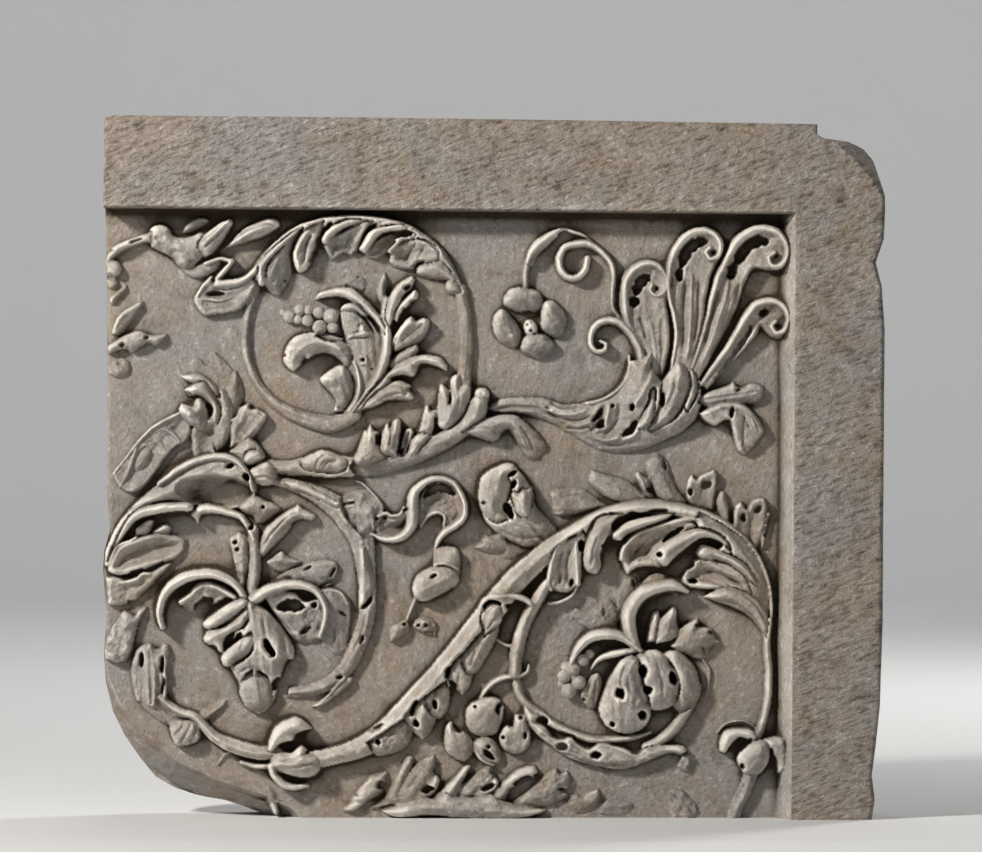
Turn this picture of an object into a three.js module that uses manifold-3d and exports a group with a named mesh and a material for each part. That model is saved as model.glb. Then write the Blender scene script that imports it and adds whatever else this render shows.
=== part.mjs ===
// A marble relief block: acanthus scrolls with a bird, flowers and berries, carved in a sunk field
// that has a plain band above it and on its right. The block stands on its underside.
// Millimetres, +Z up, the carved front facing -Y, the origin under the middle of the block.
import * as THREE from "three";
import { mergeVertices } from "three/addons/utils/BufferGeometryUtils.js";
import Module from "manifold-3d";

// Driving sizes of the block.
const blockWidth = 786;
const blockHeight = 705;
const slabThickness = 102; // from the back to the sunk field
const bandRise = 38; // the band's face stands this far in front of the field
const topBandHeight = 94;
const rightBandWidth = 89;
const bevelWidth = 16; // the slope from the right band down to the field

// Driving sizes of the carving. A rise of 1 in the lists below is this far in front of the field.
const carvingRise = 36;
const rootDepth = 6; // every carved form runs this far back into the slab
const stationSpacing = 29; // between the cross-sections of a stem
const narrowStem = 16; // a stem under this width has a plain keel
const smallBall = 11; // a ball under this half width, such as a berry, has fewer facets
const ballSeat = 0.3; // the share of a ball's rise at which its middle stands
const facetTolerance = 1; // facets smaller than this are merged away

// The chips and the broken lower left corner, as depths from the back of the block.
const cornerChipDepth = 58;
const edgeChipDepth = 70;
const fractureDepth = 34;

// Everything is laid out on a drawing sheet, x to the right and y down, which is the block's front.
// One unit of the sheet is a millimetre while the block has the sizes above. The block and its sunk field
// are drawn there from their top left corners to their bottom right ones.
const drawnBlock = [[100, 115], [886, 820]];
const drawnField = [[100, 209], [797, 820]];
const sheet = {
  left: drawnBlock[0][0],
  band: drawnField[1][0],
  right: drawnBlock[1][0],
  top: drawnBlock[0][1],
  soffit: drawnField[0][1],
  bottom: drawnBlock[1][1],
};
const past = 40; // a cutter runs this far past the edges of the sheet
const proud = 1; // and starts this far in front of the face

const fieldWidth = blockWidth - rightBandWidth;
const fieldHeight = blockHeight - topBandHeight;
const acrossField = fieldWidth / (sheet.band - sheet.left);
const acrossBand = rightBandWidth / (sheet.right - sheet.band);
const upField = fieldHeight / (sheet.bottom - sheet.soffit);
const upBand = topBandHeight / (sheet.soffit - sheet.top);
const carvingScale = Math.sqrt(acrossField * upField);

const backY = (slabThickness + bandRise) / 2;
const faceY = -backY;
const fieldY = faceY + bandRise;

function place(x, y) {
  const across =
    x <= sheet.band
      ? -blockWidth / 2 + (x - sheet.left) * acrossField
      : blockWidth / 2 - (sheet.right - x) * acrossBand;
  const up =
    y >= sheet.soffit
      ? (sheet.bottom - y) * upField
      : blockHeight - (y - sheet.top) * upBand;
  return new THREE.Vector2(across, up);
}

const wasm = await Module();
wasm.setup();

// A closed solid from its corners and triangles, turned so that its faces point outwards.
function solidFrom(corners, triangles) {
  let volume = 0;
  for (const [a, b, c] of triangles) {
    volume += corners[a].dot(new THREE.Vector3().crossVectors(corners[b], corners[c]));
  }
  const turned = volume < 0 ? triangles.map(([a, b, c]) => [a, c, b]) : triangles;
  const geometry = new THREE.BufferGeometry().setFromPoints(corners);
  geometry.setIndex(turned.flat());
  return solidOf(geometry);
}

function solidOf(geometry) {
  const bare = geometry.clone();
  bare.deleteAttribute("normal");
  bare.deleteAttribute("uv");
  const merged = mergeVertices(bare);
  return new wasm.Manifold(
    new wasm.Mesh({
      numProp: 3,
      vertProperties: merged.attributes.position.array,
      triVerts: new Uint32Array(merged.index.array),
    }),
  );
}

function join(solids) {
  return solids.reduce((whole, solid) => whole.add(solid));
}

// A solid between two outlines of as many points, one at each depth.
function loft(frontOutline, frontDepth, backOutline, backDepth) {
  const front = frontOutline.map(([x, y]) => place(x, y));
  const back = backOutline.map(([x, y]) => place(x, y));
  const count = front.length;
  const corners = [
    ...front.map((p) => new THREE.Vector3(p.x, frontDepth, p.y)),
    ...back.map((p) => new THREE.Vector3(p.x, backDepth, p.y)),
  ];
  const triangles = [];
  const clockwise = THREE.ShapeUtils.isClockWise(front);
  for (let i = 0; i < count; i++) {
    const next = (i + 1) % count;
    const side = [
      [i, next, count + next],
      [i, count + next, count + i],
    ];
    triangles.push(...(clockwise ? side : side.map(([a, b, c]) => [a, c, b])));
  }
  for (const [a, b, c] of THREE.ShapeUtils.triangulateShape(front, [])) triangles.push([a, b, c]);
  for (const [a, b, c] of THREE.ShapeUtils.triangulateShape(back, [])) {
    triangles.push([count + a, count + c, count + b]);
  }
  return solidFrom(corners, triangles);
}

// Cross-sections as [share of the half width, share of the rise]: a rounded stem and a channelled leaf.
const roundSection = [
  [-1, 0.5],
  [-0.45, 0.96],
  [0.45, 0.96],
  [1, 0.5],
];
const keelSection = [
  [-1, 0.6],
  [-0.15, 1],
  [1, 0.6],
];
const channelSection = [
  [-1, 0.82],
  [-0.62, 1],
  [0, 0.66],
  [0.62, 1],
  [1, 0.82],
];

// A form that runs through the stations, each with a place, a width and a rise, over its foot in the slab.
function sweep(stations, section, foot = rootDepth) {
  const corners = [];
  const size = section.length + 2;
  stations.forEach((station, i) => {
    const before = stations[Math.max(i - 1, 0)].at;
    const after = stations[Math.min(i + 1, stations.length - 1)].at;
    const along = after.clone().sub(before).normalize();
    const across = new THREE.Vector2(along.y, -along.x).multiplyScalar(station.width / 2);
    const corner = (share, depth) => {
      const point = station.at.clone().addScaledVector(across, share);
      corners.push(new THREE.Vector3(point.x, depth, point.y));
    };
    corner(-1, fieldY + foot);
    for (const [share, height] of section) corner(share, fieldY - height * station.rise * carvingRise);
    corner(1, fieldY + foot);
  });
  const triangles = [];
  for (let i = 0; i + 1 < stations.length; i++) {
    for (let j = 0; j < size; j++) {
      const a = i * size + j;
      const b = i * size + ((j + 1) % size);
      triangles.push([a, b, b + size], [a, b + size, a + size]);
    }
  }
  const last = (stations.length - 1) * size;
  for (let j = 1; j + 1 < size; j++) {
    triangles.push([0, j + 1, j], [last, last + j, last + j + 1]);
  }
  return solidFrom(corners, triangles);
}

// The value at a share of the way through a list of evenly spread values.
function spread(values, share) {
  const place = share * (values.length - 1);
  const i = Math.min(Math.floor(place), values.length - 2);
  return values[i] + (values[i + 1] - values[i]) * (place - i);
}

// A stem or ribbon along a smooth path, with widths and rises that are spread evenly along it.
function band(path, widths, rises, section = null, foot = rootDepth) {
  const plain = Math.max(...widths) < narrowStem ? keelSection : roundSection;
  const points = path.map(([x, y]) => new THREE.Vector3(...place(x, y).toArray(), 0));
  const curve = new THREE.CatmullRomCurve3(points, false, "centripetal");
  const steps = Math.max(3, Math.round(curve.getLength() / (stationSpacing * carvingScale)));
  const stations = curve.getSpacedPoints(steps).map((point, i) => ({
    at: new THREE.Vector2(point.x, point.y),
    width: spread(widths, i / steps) * carvingScale,
    rise: spread(rises, i / steps),
  }));
  return sweep(stations, section ?? plain, foot);
}

// How wide a leaf finger is along its length, as shares of its full width.
const fingerWidths = [0.72, 1, 0.3];

// A leaf finger from its root to its tip, bent sideways by a share of its length.
function finger(x0, y0, x1, y1, bend, width, rootRise, tipRise) {
  const root = place(x0, y0);
  const tip = place(x1, y1);
  const along = tip.clone().sub(root);
  const middle = root.clone().add(tip).multiplyScalar(0.5);
  middle.add(new THREE.Vector2(along.y, -along.x).multiplyScalar(bend));
  const curve = new THREE.QuadraticBezierCurve(root, middle, tip);
  const steps = fingerWidths.length - 1;
  const stations = fingerWidths.map((share, i) => ({
    at: curve.getPoint(i / steps),
    width: share * width * carvingScale,
    rise: rootRise + (tipRise - rootRise) * (i / steps),
  }));
  return sweep(stations, keelSection);
}

function fingers(rows) {
  return rows.map((row) => finger(...row));
}

// A rounded form such as a berry, a petal or the bird's body, seated in the slab.
function ball(x, y, halfWidth, halfHeight, turn, rise) {
  const depth = rise * carvingRise;
  const halfDepth = depth * (1 - ballSeat) + rootDepth / 2;
  const [around, upward] = Math.max(halfWidth, halfHeight) > smallBall ? [9, 5] : [6, 4];
  const geometry = new THREE.SphereGeometry(1, around, upward);
  geometry.scale(halfWidth * carvingScale, halfDepth, halfHeight * carvingScale);
  geometry.rotateY(THREE.MathUtils.degToRad(turn));
  const at = place(x, y);
  geometry.translate(at.x, fieldY - depth * ballSeat + rootDepth / 2, at.y);
  return solidOf(geometry);
}

function balls(rows) {
  return rows.map((row) => ball(...row));
}

// The block's silhouette, clockwise from the top left, with its worn and broken edges.
const silhouette = [
  [104, 119], [112, 115], [340, 117], [500, 119], [700, 122], [816, 124], [823, 131], [848, 132],
  [866, 140], [875, 152], [880, 172], [885, 190], [886, 205], [884, 235], [876, 259], [882, 283],
  [885, 327], [884, 440], [883, 620], [880, 706], [876, 745], [872, 775], [876, 800], [872, 820],
  [262, 820], [240, 811], [221, 805], [193, 801], [171, 794], [150, 782], [135, 763], [120, 740],
  [109, 715], [103, 684], [101, 655], [104, 620], [103, 600], [100, 572], [101, 552], [108, 530],
  [105, 500], [105, 300], [103, 210],
];

// The sunk field: sharp below the top band, and sloping down from the right band.
function fieldRecess() {
  const soffitLeft = sheet.soffit - 2.5;
  const soffitRight = sheet.soffit + 4;
  const bandFoot = sheet.band - 5;
  const slope = bevelWidth / acrossField;
  const front = [
    [sheet.left - past, soffitLeft],
    [sheet.band, soffitRight],
    [bandFoot, sheet.bottom + past],
    [sheet.left - past, sheet.bottom + past],
  ];
  const back = [front[0], [sheet.band - slope, soffitRight], [bandFoot - slope, sheet.bottom + past], front[3]];
  return loft(front, faceY - proud, back, fieldY);
}

// A chip off the top right corner: its lower edge on the band's face, and where it leaves the block.
function cornerChip() {
  const face = [[814, 110], [834, 138], [850, 156], [868, 172], [884, 196], [920, 210], [920, 100]];
  const deep = [[822, 108], [836, 124], [858, 128], [876, 144], [888, 178], [920, 190], [920, 96]];
  return loft(face, faceY - proud, deep, backY - cornerChipDepth);
}

// Bruises of the right edge, each a notch that ends inside the block: its deepest place, its ends, its run.
function edgeChips() {
  const rows = [
    [876, 236, 284, 8],
    [878, 480, 520, 5],
    [866, 772, 822, 9],
    [876, 600, 640, 4],
  ];
  const outside = sheet.right + past;
  return rows.map(([x, top, bottom, run]) => {
    const middle = (top + bottom) / 2;
    const front = [[x - run / 2, middle], [x + run, top - run], [outside, top - run],
      [outside, bottom + run], [x + run, bottom + run]];
    const back = [[x + run, middle], [x + 2 * run, top], [outside, top], [outside, bottom],
      [x + 2 * run, bottom]];
    return loft(front, faceY - proud, back, backY - edgeChipDepth);
  });
}

// The broken lower left corner: a rough slope from the carving back to the silhouette.
function lowerLeftFracture() {
  const front = [
    [60, 640], [104, 672], [118, 704], [146, 738], [176, 764], [214, 782], [262, 796], [292, 812],
    [300, 860], [60, 860],
  ];
  const back = [
    [60, 690], [99, 690], [106, 722], [132, 766], [160, 792], [200, 806], [238, 814], [258, 826],
    [262, 860], [60, 860],
  ];
  return loft(front, fieldY - proud, back, backY - fractureDepth);
}

function stoneBlock() {
  let stone = loft(silhouette, faceY, silhouette, backY).subtract(fieldRecess());
  stone = stone.subtract(cornerChip()).subtract(lowerLeftFracture());
  for (const chip of edgeChips()) stone = stone.subtract(chip);
  return stone;
}

function upperLeftScroll() {
  return [
    band(
      [[252, 276], [263, 257], [290, 235], [320, 222], [355, 217], [390, 220], [420, 231], [442, 249],
        [456, 272], [465, 298]],
      [14, 17, 16, 15, 14, 11],
      [0.7, 0.86, 0.92, 0.86, 0.7],
    ),
    ...fingers([
      [268, 250, 259, 286, -0.1, 16, 0.85, 0.55],
      [282, 244, 277, 296, -0.1, 15, 0.85, 0.5],
      [301, 231, 299, 271, -0.05, 22, 0.9, 0.55],
      [358, 222, 329, 259, -0.2, 20, 0.9, 0.55],
      [397, 226, 364, 253, -0.2, 20, 0.9, 0.55],
      [420, 236, 391, 258, -0.1, 24, 0.85, 0.6],
      [446, 254, 418, 271, -0.05, 20, 0.8, 0.6],
      [458, 274, 451, 293, 0, 12, 0.7, 0.5],
    ]),
    band(
      [[258, 278], [248, 298], [242, 325], [243, 350], [250, 374], [264, 394], [284, 410], [308, 420],
        [334, 426], [354, 422]],
      [9, 9, 9, 11, 13],
      [0.5, 0.55, 0.55, 0.6],
    ),
    band([[463, 286], [467, 315], [466, 350], [463, 384], [456, 410]], [12, 14, 14], [0.6, 0.55, 0.6]),
  ];
}

function upperLeftLeaf() {
  return [
    band(
      [[346, 428], [364, 404], [379, 376], [385, 345], [385, 312], [383, 276]],
      [12, 17, 18, 14, 11],
      [0.6, 0.76, 0.74, 0.55, 0.42],
      keelSection,
    ),
    ...fingers([
      [382, 330, 318, 300, 0.22, 17, 0.62, 0.74],
      [378, 346, 342, 312, 0.12, 13, 0.6, 0.6],
      [352, 356, 286, 367, 0.28, 26, 0.72, 0.62],
      [346, 368, 306, 362, 0.1, 13, 0.5, 0.45],
      [352, 402, 323, 380, -0.1, 19, 0.6, 0.56],
      [366, 292, 326, 276, 0.1, 26, 0.2, 0.16],
      [386, 308, 416, 284, -0.12, 20, 0.66, 0.6],
      [386, 336, 428, 318, -0.14, 24, 0.7, 0.62],
      [380, 370, 417, 345, -0.14, 17, 0.7, 0.6],
      [370, 392, 447, 362, -0.24, 17, 0.72, 0.7],
      [360, 412, 408, 388, -0.16, 18, 0.66, 0.55],
    ]),
    ...balls([
      [350, 344, 10, 9, 0, 0.72],
      [288, 316, 6, 6, 0, 0.5],
      [300, 309, 6, 5, 0, 0.52],
      [309, 317, 7, 8, 0, 0.54],
      [331, 317, 8, 8, 0, 0.6],
      [320, 328, 7, 7, 0, 0.56],
    ]),
  ];
}

function bird() {
  return [
    ...balls([
      [192, 253, 27, 20, -22, 0.62],
      [159, 232, 10, 9, 0, 0.6],
    ]),
    band([[162, 234], [174, 242], [188, 252]], [14, 20, 26], [0.56, 0.6]),
    ...fingers([
      [154, 234, 129, 241, 0.05, 9, 0.5, 0.36],
      [198, 247, 231, 218, 0.16, 24, 0.66, 0.62],
      [182, 240, 206, 219, -0.1, 20, 0.36, 0.3],
      [220, 248, 276, 226, -0.2, 20, 0.5, 0.42],
      [203, 262, 231, 258, 0.1, 12, 0.44, 0.36],
    ]),
    band([[232, 260], [224, 269], [216, 278]], [6, 6], [0.34, 0.34]),
    band([[262, 263], [240, 281], [216, 294], [197, 305]], [10, 20, 26, 16], [0.6, 0.5, 0.4]),
    band([[129, 243], [113, 250], [108, 264], [112, 284]], [8, 13, 13, 15], [0.34, 0.3]),
  ];
}

function leftEdgeLeaves() {
  return fingers([
    [107, 303, 121, 287, 0.1, 11, 0.24, 0.2],
    [109, 333, 141, 301, 0.1, 13, 0.3, 0.26],
    [107, 346, 166, 334, 0.06, 20, 0.36, 0.36],
    [108, 372, 130, 360, 0, 18, 0.26, 0.3],
  ]);
}

function topFlower() {
  return [
    ...balls([
      [523, 299, 20, 14, 0, 0.5],
      [507, 330, 13, 19, 0, 0.48],
      [553, 318, 14, 19, 0, 0.5],
      [538, 343, 17, 14, 0, 0.48],
      [531, 327, 7, 9, 0, 0.56],
    ]),
    band(
      [[528, 288], [526, 266], [531, 248], [542, 234], [558, 229], [575, 231], [588, 241]],
      [7, 8, 11, 14, 12, 7],
      [0.4, 0.5, 0.5, 0.4],
    ),
    band(
      [[619, 320], [613, 305], [614, 285], [611, 265], [598, 248], [582, 242], [567, 246], [559, 258],
        [562, 271], [573, 278], [585, 273]],
      [4, 6, 7, 8, 9, 8, 6],
      [0.34, 0.4, 0.5, 0.55, 0.5],
    ),
  ];
}

function upperRightFronds() {
  return [
    band(
      [[643, 392], [643, 368], [638, 346], [627, 328], [612, 320], [598, 324], [592, 336], [595, 348],
        [605, 350]],
      [14, 12, 11, 9, 8, 6],
      [0.62, 0.56, 0.54, 0.5, 0.44],
    ),
    band(
      [[655, 396], [654, 370], [648, 345], [637, 318], [630, 296], [632, 279], [642, 270], [655, 271],
        [663, 281], [659, 292]],
      [16, 18, 16, 13, 10, 8, 6],
      [0.7, 0.66, 0.6, 0.56, 0.5],
      channelSection,
    ),
    band(
      [[674, 392], [680, 360], [685, 330], [683, 300], [679, 273], [683, 250], [694, 236], [708, 232],
        [719, 238], [722, 250], [714, 258]],
      [20, 26, 24, 17, 12, 9, 7],
      [0.76, 0.72, 0.66, 0.6, 0.52],
      channelSection,
    ),
    band(
      [[690, 396], [704, 362], [720, 326], [732, 290], [740, 260], [750, 240], [764, 230], [778, 232],
        [787, 243], [787, 257], [777, 265]],
      [20, 28, 26, 19, 13, 10, 7],
      [0.76, 0.72, 0.66, 0.62, 0.52],
      channelSection,
    ),
    band(
      [[700, 400], [716, 375], [736, 350], [753, 326], [766, 309], [778, 307], [787, 317], [786, 329],
        [778, 334]],
      [14, 19, 18, 13, 9, 7],
      [0.7, 0.62, 0.56, 0.46],
      channelSection,
    ),
  ];
}

function frondSheath() {
  return [
    band(
      [[486, 407], [512, 403], [538, 406], [562, 413], [586, 423], [608, 429], [632, 425], [656, 413],
        [680, 400], [701, 394]],
      [8, 12, 17, 27, 36, 42, 44, 40, 28, 16],
      [0.35, 0.42, 0.5, 0.62, 0.72, 0.76, 0.74, 0.7],
    ),
    ...fingers([
      [552, 410, 599, 404, -0.16, 15, 0.56, 0.66],
      [596, 430, 640, 372, -0.24, 22, 0.74, 0.78],
      [640, 428, 655, 388, -0.08, 13, 0.72, 0.76],
      [662, 424, 680, 366, -0.08, 26, 0.84, 0.88],
      [690, 408, 694, 370, 0.1, 14, 0.74, 0.76],
      [700, 400, 763, 391, 0.08, 21, 0.5, 0.46],
      [700, 410, 732, 408, 0.1, 18, 0.5, 0.5],
      [722, 408, 745, 452, 0.24, 26, 0.56, 0.5],
    ]),
  ];
}

function middleBranch() {
  return [
    band(
      [[260, 467], [290, 466], [320, 468], [352, 470], [382, 467], [410, 458], [436, 441], [460, 425],
        [482, 409], [494, 398]],
      [15, 15, 17, 20, 26, 28, 26, 24, 18, 10],
      [0.5, 0.5, 0.5, 0.64, 0.74, 0.78, 0.74, 0.64],
    ),
    ...fingers([
      [366, 466, 372, 425, 0.1, 18, 0.66, 0.6],
      [390, 462, 398, 420, 0.1, 19, 0.72, 0.62],
      [412, 455, 414, 427, 0, 13, 0.7, 0.6],
      [430, 446, 430, 407, 0.08, 18, 0.78, 0.62],
      [446, 434, 444, 387, 0.08, 16, 0.78, 0.62],
      [460, 426, 461, 376, 0.08, 20, 0.78, 0.62],
      [474, 416, 483, 391, 0, 16, 0.74, 0.66],
      [474, 420, 494, 444, 0.3, 20, 0.6, 0.42],
      [496, 418, 541, 456, 0.28, 26, 0.58, 0.4],
    ]),
    band(
      [[274, 481], [300, 488], [323, 497], [343, 508], [357, 526], [365, 550], [367, 580], [367, 610],
        [361, 640], [349, 665], [332, 683], [310, 692], [282, 693]],
      [9, 12, 17, 19, 17, 15, 15, 15, 14, 12, 10],
      [0.5, 0.5, 0.5, 0.55, 0.55, 0.5],
    ),
    ...fingers([
      [364, 560, 360, 608, -0.06, 16, 0.62, 0.56],
      [372, 506, 338, 502, 0, 40, 0.34, 0.34],
    ]),
  ];
}

function leftCalyx() {
  return [
    ...fingers([
      [222, 458, 182, 378, -0.14, 20, 0.72, 0.7],
      [220, 455, 187, 392, -0.1, 18, 0.72, 0.62],
      [208, 452, 183, 408, 0, 18, 0.6, 0.5],
      [222, 445, 207, 353, -0.06, 30, 0.4, 0.3],
      [232, 440, 237, 372, 0.06, 16, 0.5, 0.36],
      [228, 456, 249, 406, 0.12, 16, 0.6, 0.5],
      [232, 460, 266, 416, 0.14, 24, 0.56, 0.46],
    ]),
    band([[116, 484], [130, 458], [150, 435], [180, 418]], [8, 18, 20, 14], [0.36, 0.4], channelSection),
    ...balls([[253, 462, 18, 20, 20, 0.8]]),
  ];
}

function lowerLeftScroll() {
  return [
    band(
      [[111, 574], [114, 545], [124, 516], [147, 489], [178, 470], [214, 464], [248, 476]],
      [12, 20, 28, 32, 32, 28, 14],
      [0.5, 0.62, 0.78, 0.88, 0.9, 0.85, 0.7],
    ),
    band([[118, 537], [134, 517], [160, 508], [192, 510]], [9, 14, 16, 9], [0.6, 0.62]),
    band(
      [[194, 520], [213, 515], [232, 519], [245, 532], [252, 552], [254, 576], [250, 600]],
      [12, 10, 10, 11, 13],
      [0.5, 0.5, 0.55],
    ),
    ...fingers([
      [112, 566, 146, 524, 0.1, 20, 0.4, 0.4],
      [104, 566, 148, 574, -0.14, 22, 0.44, 0.36],
      [112, 650, 134, 606, 0.1, 26, 0.5, 0.5],
      [262, 552, 313, 516, -0.24, 18, 0.55, 0.5],
      [262, 524, 258, 499, 0, 20, 0.36, 0.34],
      [266, 566, 299, 562, 0, 14, 0.34, 0.3],
      [270, 586, 333, 572, -0.06, 20, 0.3, 0.26],
      [152, 706, 146, 648, 0.04, 16, 0.4, 0.34],
      [160, 702, 161, 648, 0, 12, 0.34, 0.3],
      [142, 702, 134, 654, 0.04, 10, 0.34, 0.3],
    ]),
  ];
}

function bigLeaf() {
  return [
    band([[246, 606], [228, 586], [204, 577], [182, 584], [169, 600], [163, 618]], [12, 18, 17, 14, 8],
      [0.76, 0.78, 0.66]),
    band([[246, 606], [272, 594], [304, 588], [332, 596], [346, 616]], [22, 24, 22, 18, 10],
      [0.76, 0.74, 0.6]),
    ...fingers([
      [240, 604, 192, 596, 0.1, 20, 0.66, 0.56],
      [246, 608, 204, 624, 0.06, 18, 0.78, 0.62],
      [246, 614, 205, 640, 0.04, 18, 0.78, 0.62],
      [246, 618, 221, 664, 0.06, 26, 0.8, 0.66],
      [252, 614, 254, 710, -0.02, 42, 0.82, 0.66],
      [258, 618, 290, 655, 0.04, 34, 0.7, 0.56],
      [296, 598, 318, 640, -0.14, 20, 0.66, 0.55],
      [322, 606, 344, 656, -0.1, 30, 0.4, 0.34],
      [296, 606, 306, 636, 0, 20, 0.4, 0.4],
    ]),
  ];
}

function lowerLeftStem() {
  const deepFoot = 26;
  return [
    band(
      [[148, 690], [162, 710], [183, 722], [202, 734], [222, 744], [246, 754], [274, 758]],
      [14, 20, 24, 22, 20, 19],
      [0.5, 0.56, 0.58, 0.56],
      roundSection,
      deepFoot,
    ),
    ...balls([
      [183, 733, 15, 14, 0, 0.68],
      [298, 768, 25, 20, 0, 0.84],
    ]),
    band([[272, 756], [274, 738], [288, 726], [309, 730]], [13, 17, 15, 8], [0.74, 0.76]),
  ];
}

function mainStem() {
  return [
    band(
      [[306, 762], [330, 759], [360, 750], [388, 734], [414, 712], [440, 682], [464, 650], [484, 622],
        [506, 592], [534, 562], [560, 538], [590, 519], [620, 509], [650, 507], [690, 516], [720, 529],
        [745, 549], [761, 573], [769, 600], [770, 636]],
      [15, 18, 24, 28, 30, 28, 26, 24, 22, 20, 18, 18, 18, 18, 16, 14, 11],
      [0.56, 0.64, 0.7, 0.72, 0.72, 0.72, 0.76, 0.76, 0.72, 0.62, 0.5],
    ),
    ...fingers([
      [366, 750, 397, 752, -0.06, 16, 0.62, 0.5],
      [388, 736, 409, 748, -0.06, 20, 0.66, 0.5],
      [410, 714, 431, 740, -0.08, 24, 0.7, 0.54],
      [428, 694, 444, 720, -0.06, 18, 0.7, 0.54],
      [448, 668, 457, 692, -0.06, 18, 0.7, 0.54],
      [468, 650, 472, 694, -0.08, 24, 0.66, 0.5],
      [500, 602, 487, 634, 0.04, 24, 0.74, 0.62],
    ]),
    band([[482, 604], [504, 599], [530, 608]], [10, 11, 8], [0.76, 0.76]),
  ];
}

function lowerRightScroll() {
  return [
    ...fingers([
      [564, 536, 553, 594, 0.08, 22, 0.72, 0.56],
      [578, 530, 575, 588, 0.06, 18, 0.74, 0.56],
      [602, 520, 591, 572, 0.14, 24, 0.8, 0.6],
      [652, 513, 613, 539, -0.22, 16, 0.82, 0.64],
      [684, 520, 629, 572, -0.16, 34, 0.78, 0.5],
      [718, 532, 660, 562, -0.24, 22, 0.82, 0.62],
      [744, 556, 700, 552, -0.14, 16, 0.72, 0.6],
      [756, 580, 686, 576, -0.14, 34, 0.6, 0.46],
      [764, 612, 713, 597, -0.16, 20, 0.66, 0.54],
    ]),
    band(
      [[560, 578], [546, 594], [531, 620], [521, 646], [520, 675], [528, 700], [545, 719], [565, 732],
        [590, 741], [615, 743], [640, 741], [662, 734], [680, 719], [691, 701], [698, 686]],
      [13, 14, 13, 13, 12, 11, 9, 8, 9, 11, 10],
      [0.56, 0.52, 0.5, 0.5, 0.46],
    ),
    band(
      [[534, 724], [556, 743], [580, 756], [606, 761], [634, 759], [660, 752], [686, 753]],
      [16, 19, 20, 20, 16, 8],
      [0.6, 0.64, 0.62, 0.5],
    ),
    band([[760, 640], [767, 660], [770, 688], [768, 714], [762, 737]], [9, 10, 9], [0.46, 0.44]),
  ];
}

function innerFlower() {
  return [
    band([[630, 640], [632, 614], [645, 598], [666, 590], [689, 595]], [13, 19, 19, 17, 8],
      [0.78, 0.82, 0.7]),
    band([[572, 664], [583, 648], [600, 638], [622, 640], [642, 650]], [6, 13, 15, 14, 10],
      [0.66, 0.72, 0.64]),
    ...fingers([
      [652, 604, 662, 574, 0.04, 34, 0.36, 0.3],
      [634, 606, 622, 580, 0, 20, 0.28, 0.22],
      [642, 652, 592, 668, -0.04, 13, 0.52, 0.46],
      [652, 646, 678, 608, -0.04, 24, 0.5, 0.44],
      [648, 642, 655, 606, 0, 15, 0.5, 0.44],
      [660, 650, 718, 642, 0.1, 26, 0.46, 0.38],
      [600, 672, 590, 710, 0.04, 20, 0.36, 0.3],
    ]),
    ...balls([
      [627, 702, 24, 34, 28, 0.86],
      [650, 678, 26, 30, 10, 0.88],
      [683, 676, 24, 34, -8, 0.72],
      [566, 667, 5, 5, 0, 0.4],
      [578, 668, 8, 8, 0, 0.46],
      [566, 678, 7, 6, 0, 0.42],
      [579, 683, 7, 7, 0, 0.42],
      [569, 692, 7, 7, 0, 0.42],
    ]),
  ];
}

// Leaves in low relief behind the main stem, and the closed leaf on its upper side.
function leavesOverStem() {
  return [
    ...balls([[514, 520, 37, 24, 8, 0.72]]),
    ...fingers([
      [500, 532, 500, 468, 0.03, 38, 0.76, 0.66],
      [524, 520, 522, 485, 0, 23, 0.72, 0.6],
      [506, 538, 478, 545, 0, 14, 0.36, 0.26],
      [526, 550, 501, 557, 0, 10, 0.3, 0.24],
      [606, 502, 552, 495, 0.06, 20, 0.16, 0.14],
      [644, 502, 594, 476, 0.06, 22, 0.2, 0.16],
      [662, 500, 638, 474, 0.04, 16, 0.24, 0.24],
      [668, 500, 655, 457, 0.04, 24, 0.2, 0.2],
      [704, 508, 697, 473, 0, 16, 0.26, 0.26],
      [712, 508, 709, 470, 0, 22, 0.22, 0.24],
      [730, 528, 722, 494, 0, 15, 0.24, 0.2],
      [742, 534, 742, 504, 0, 15, 0.3, 0.28],
      [760, 548, 760, 500, 0, 24, 0.28, 0.24],
    ]),
  ];
}

function ribbonAndBud() {
  return [
    band(
      [[380, 520], [386, 532], [399, 532], [410, 519], [411, 500], [421, 486], [437, 480], [452, 486],
        [461, 502], [459, 520], [446, 533], [438, 548]],
      [12, 16, 16, 15, 13, 12, 12, 13, 14, 10, 5],
      [0.5, 0.56, 0.6, 0.6, 0.56, 0.4],
    ),
    band([[446, 546], [447, 570]], [20, 24], [0.44, 0.56]),
    ...balls([
      [433, 581, 24, 16, -32, 0.7],
      [397, 632, 11, 10, 0, 0.42],
      [425, 630, 12, 9, 0, 0.3],
    ]),
    band([[416, 598], [411, 610], [406, 624]], [5, 4], [0.34, 0.34]),
  ];
}

function lowerFlower() {
  return [
    ...balls([
      [484, 718, 20, 20, 0, 0.66],
      [459, 740, 17, 20, 0, 0.52],
      [516, 736, 17, 20, 0, 0.52],
      [487, 754, 14, 13, 0, 0.44],
    ]),
    band([[529, 668], [525, 676], [510, 677], [494, 684], [483, 700]], [5, 6, 6], [0.36, 0.42]),
  ];
}

function lowerRightCollar() {
  return [
    band([[722, 754], [728, 739], [742, 731], [758, 737]], [8, 15, 15, 11], [0.6, 0.66]),
    band([[762, 742], [778, 742], [786, 755], [778, 771]], [11, 15, 15, 7], [0.66, 0.6]),
    ...balls([[755, 757, 16, 20, -12, 0.74]]),
    band([[753, 774], [745, 796], [735, 817]], [14, 14, 13], [0.44, 0.4]),
  ];
}

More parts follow.
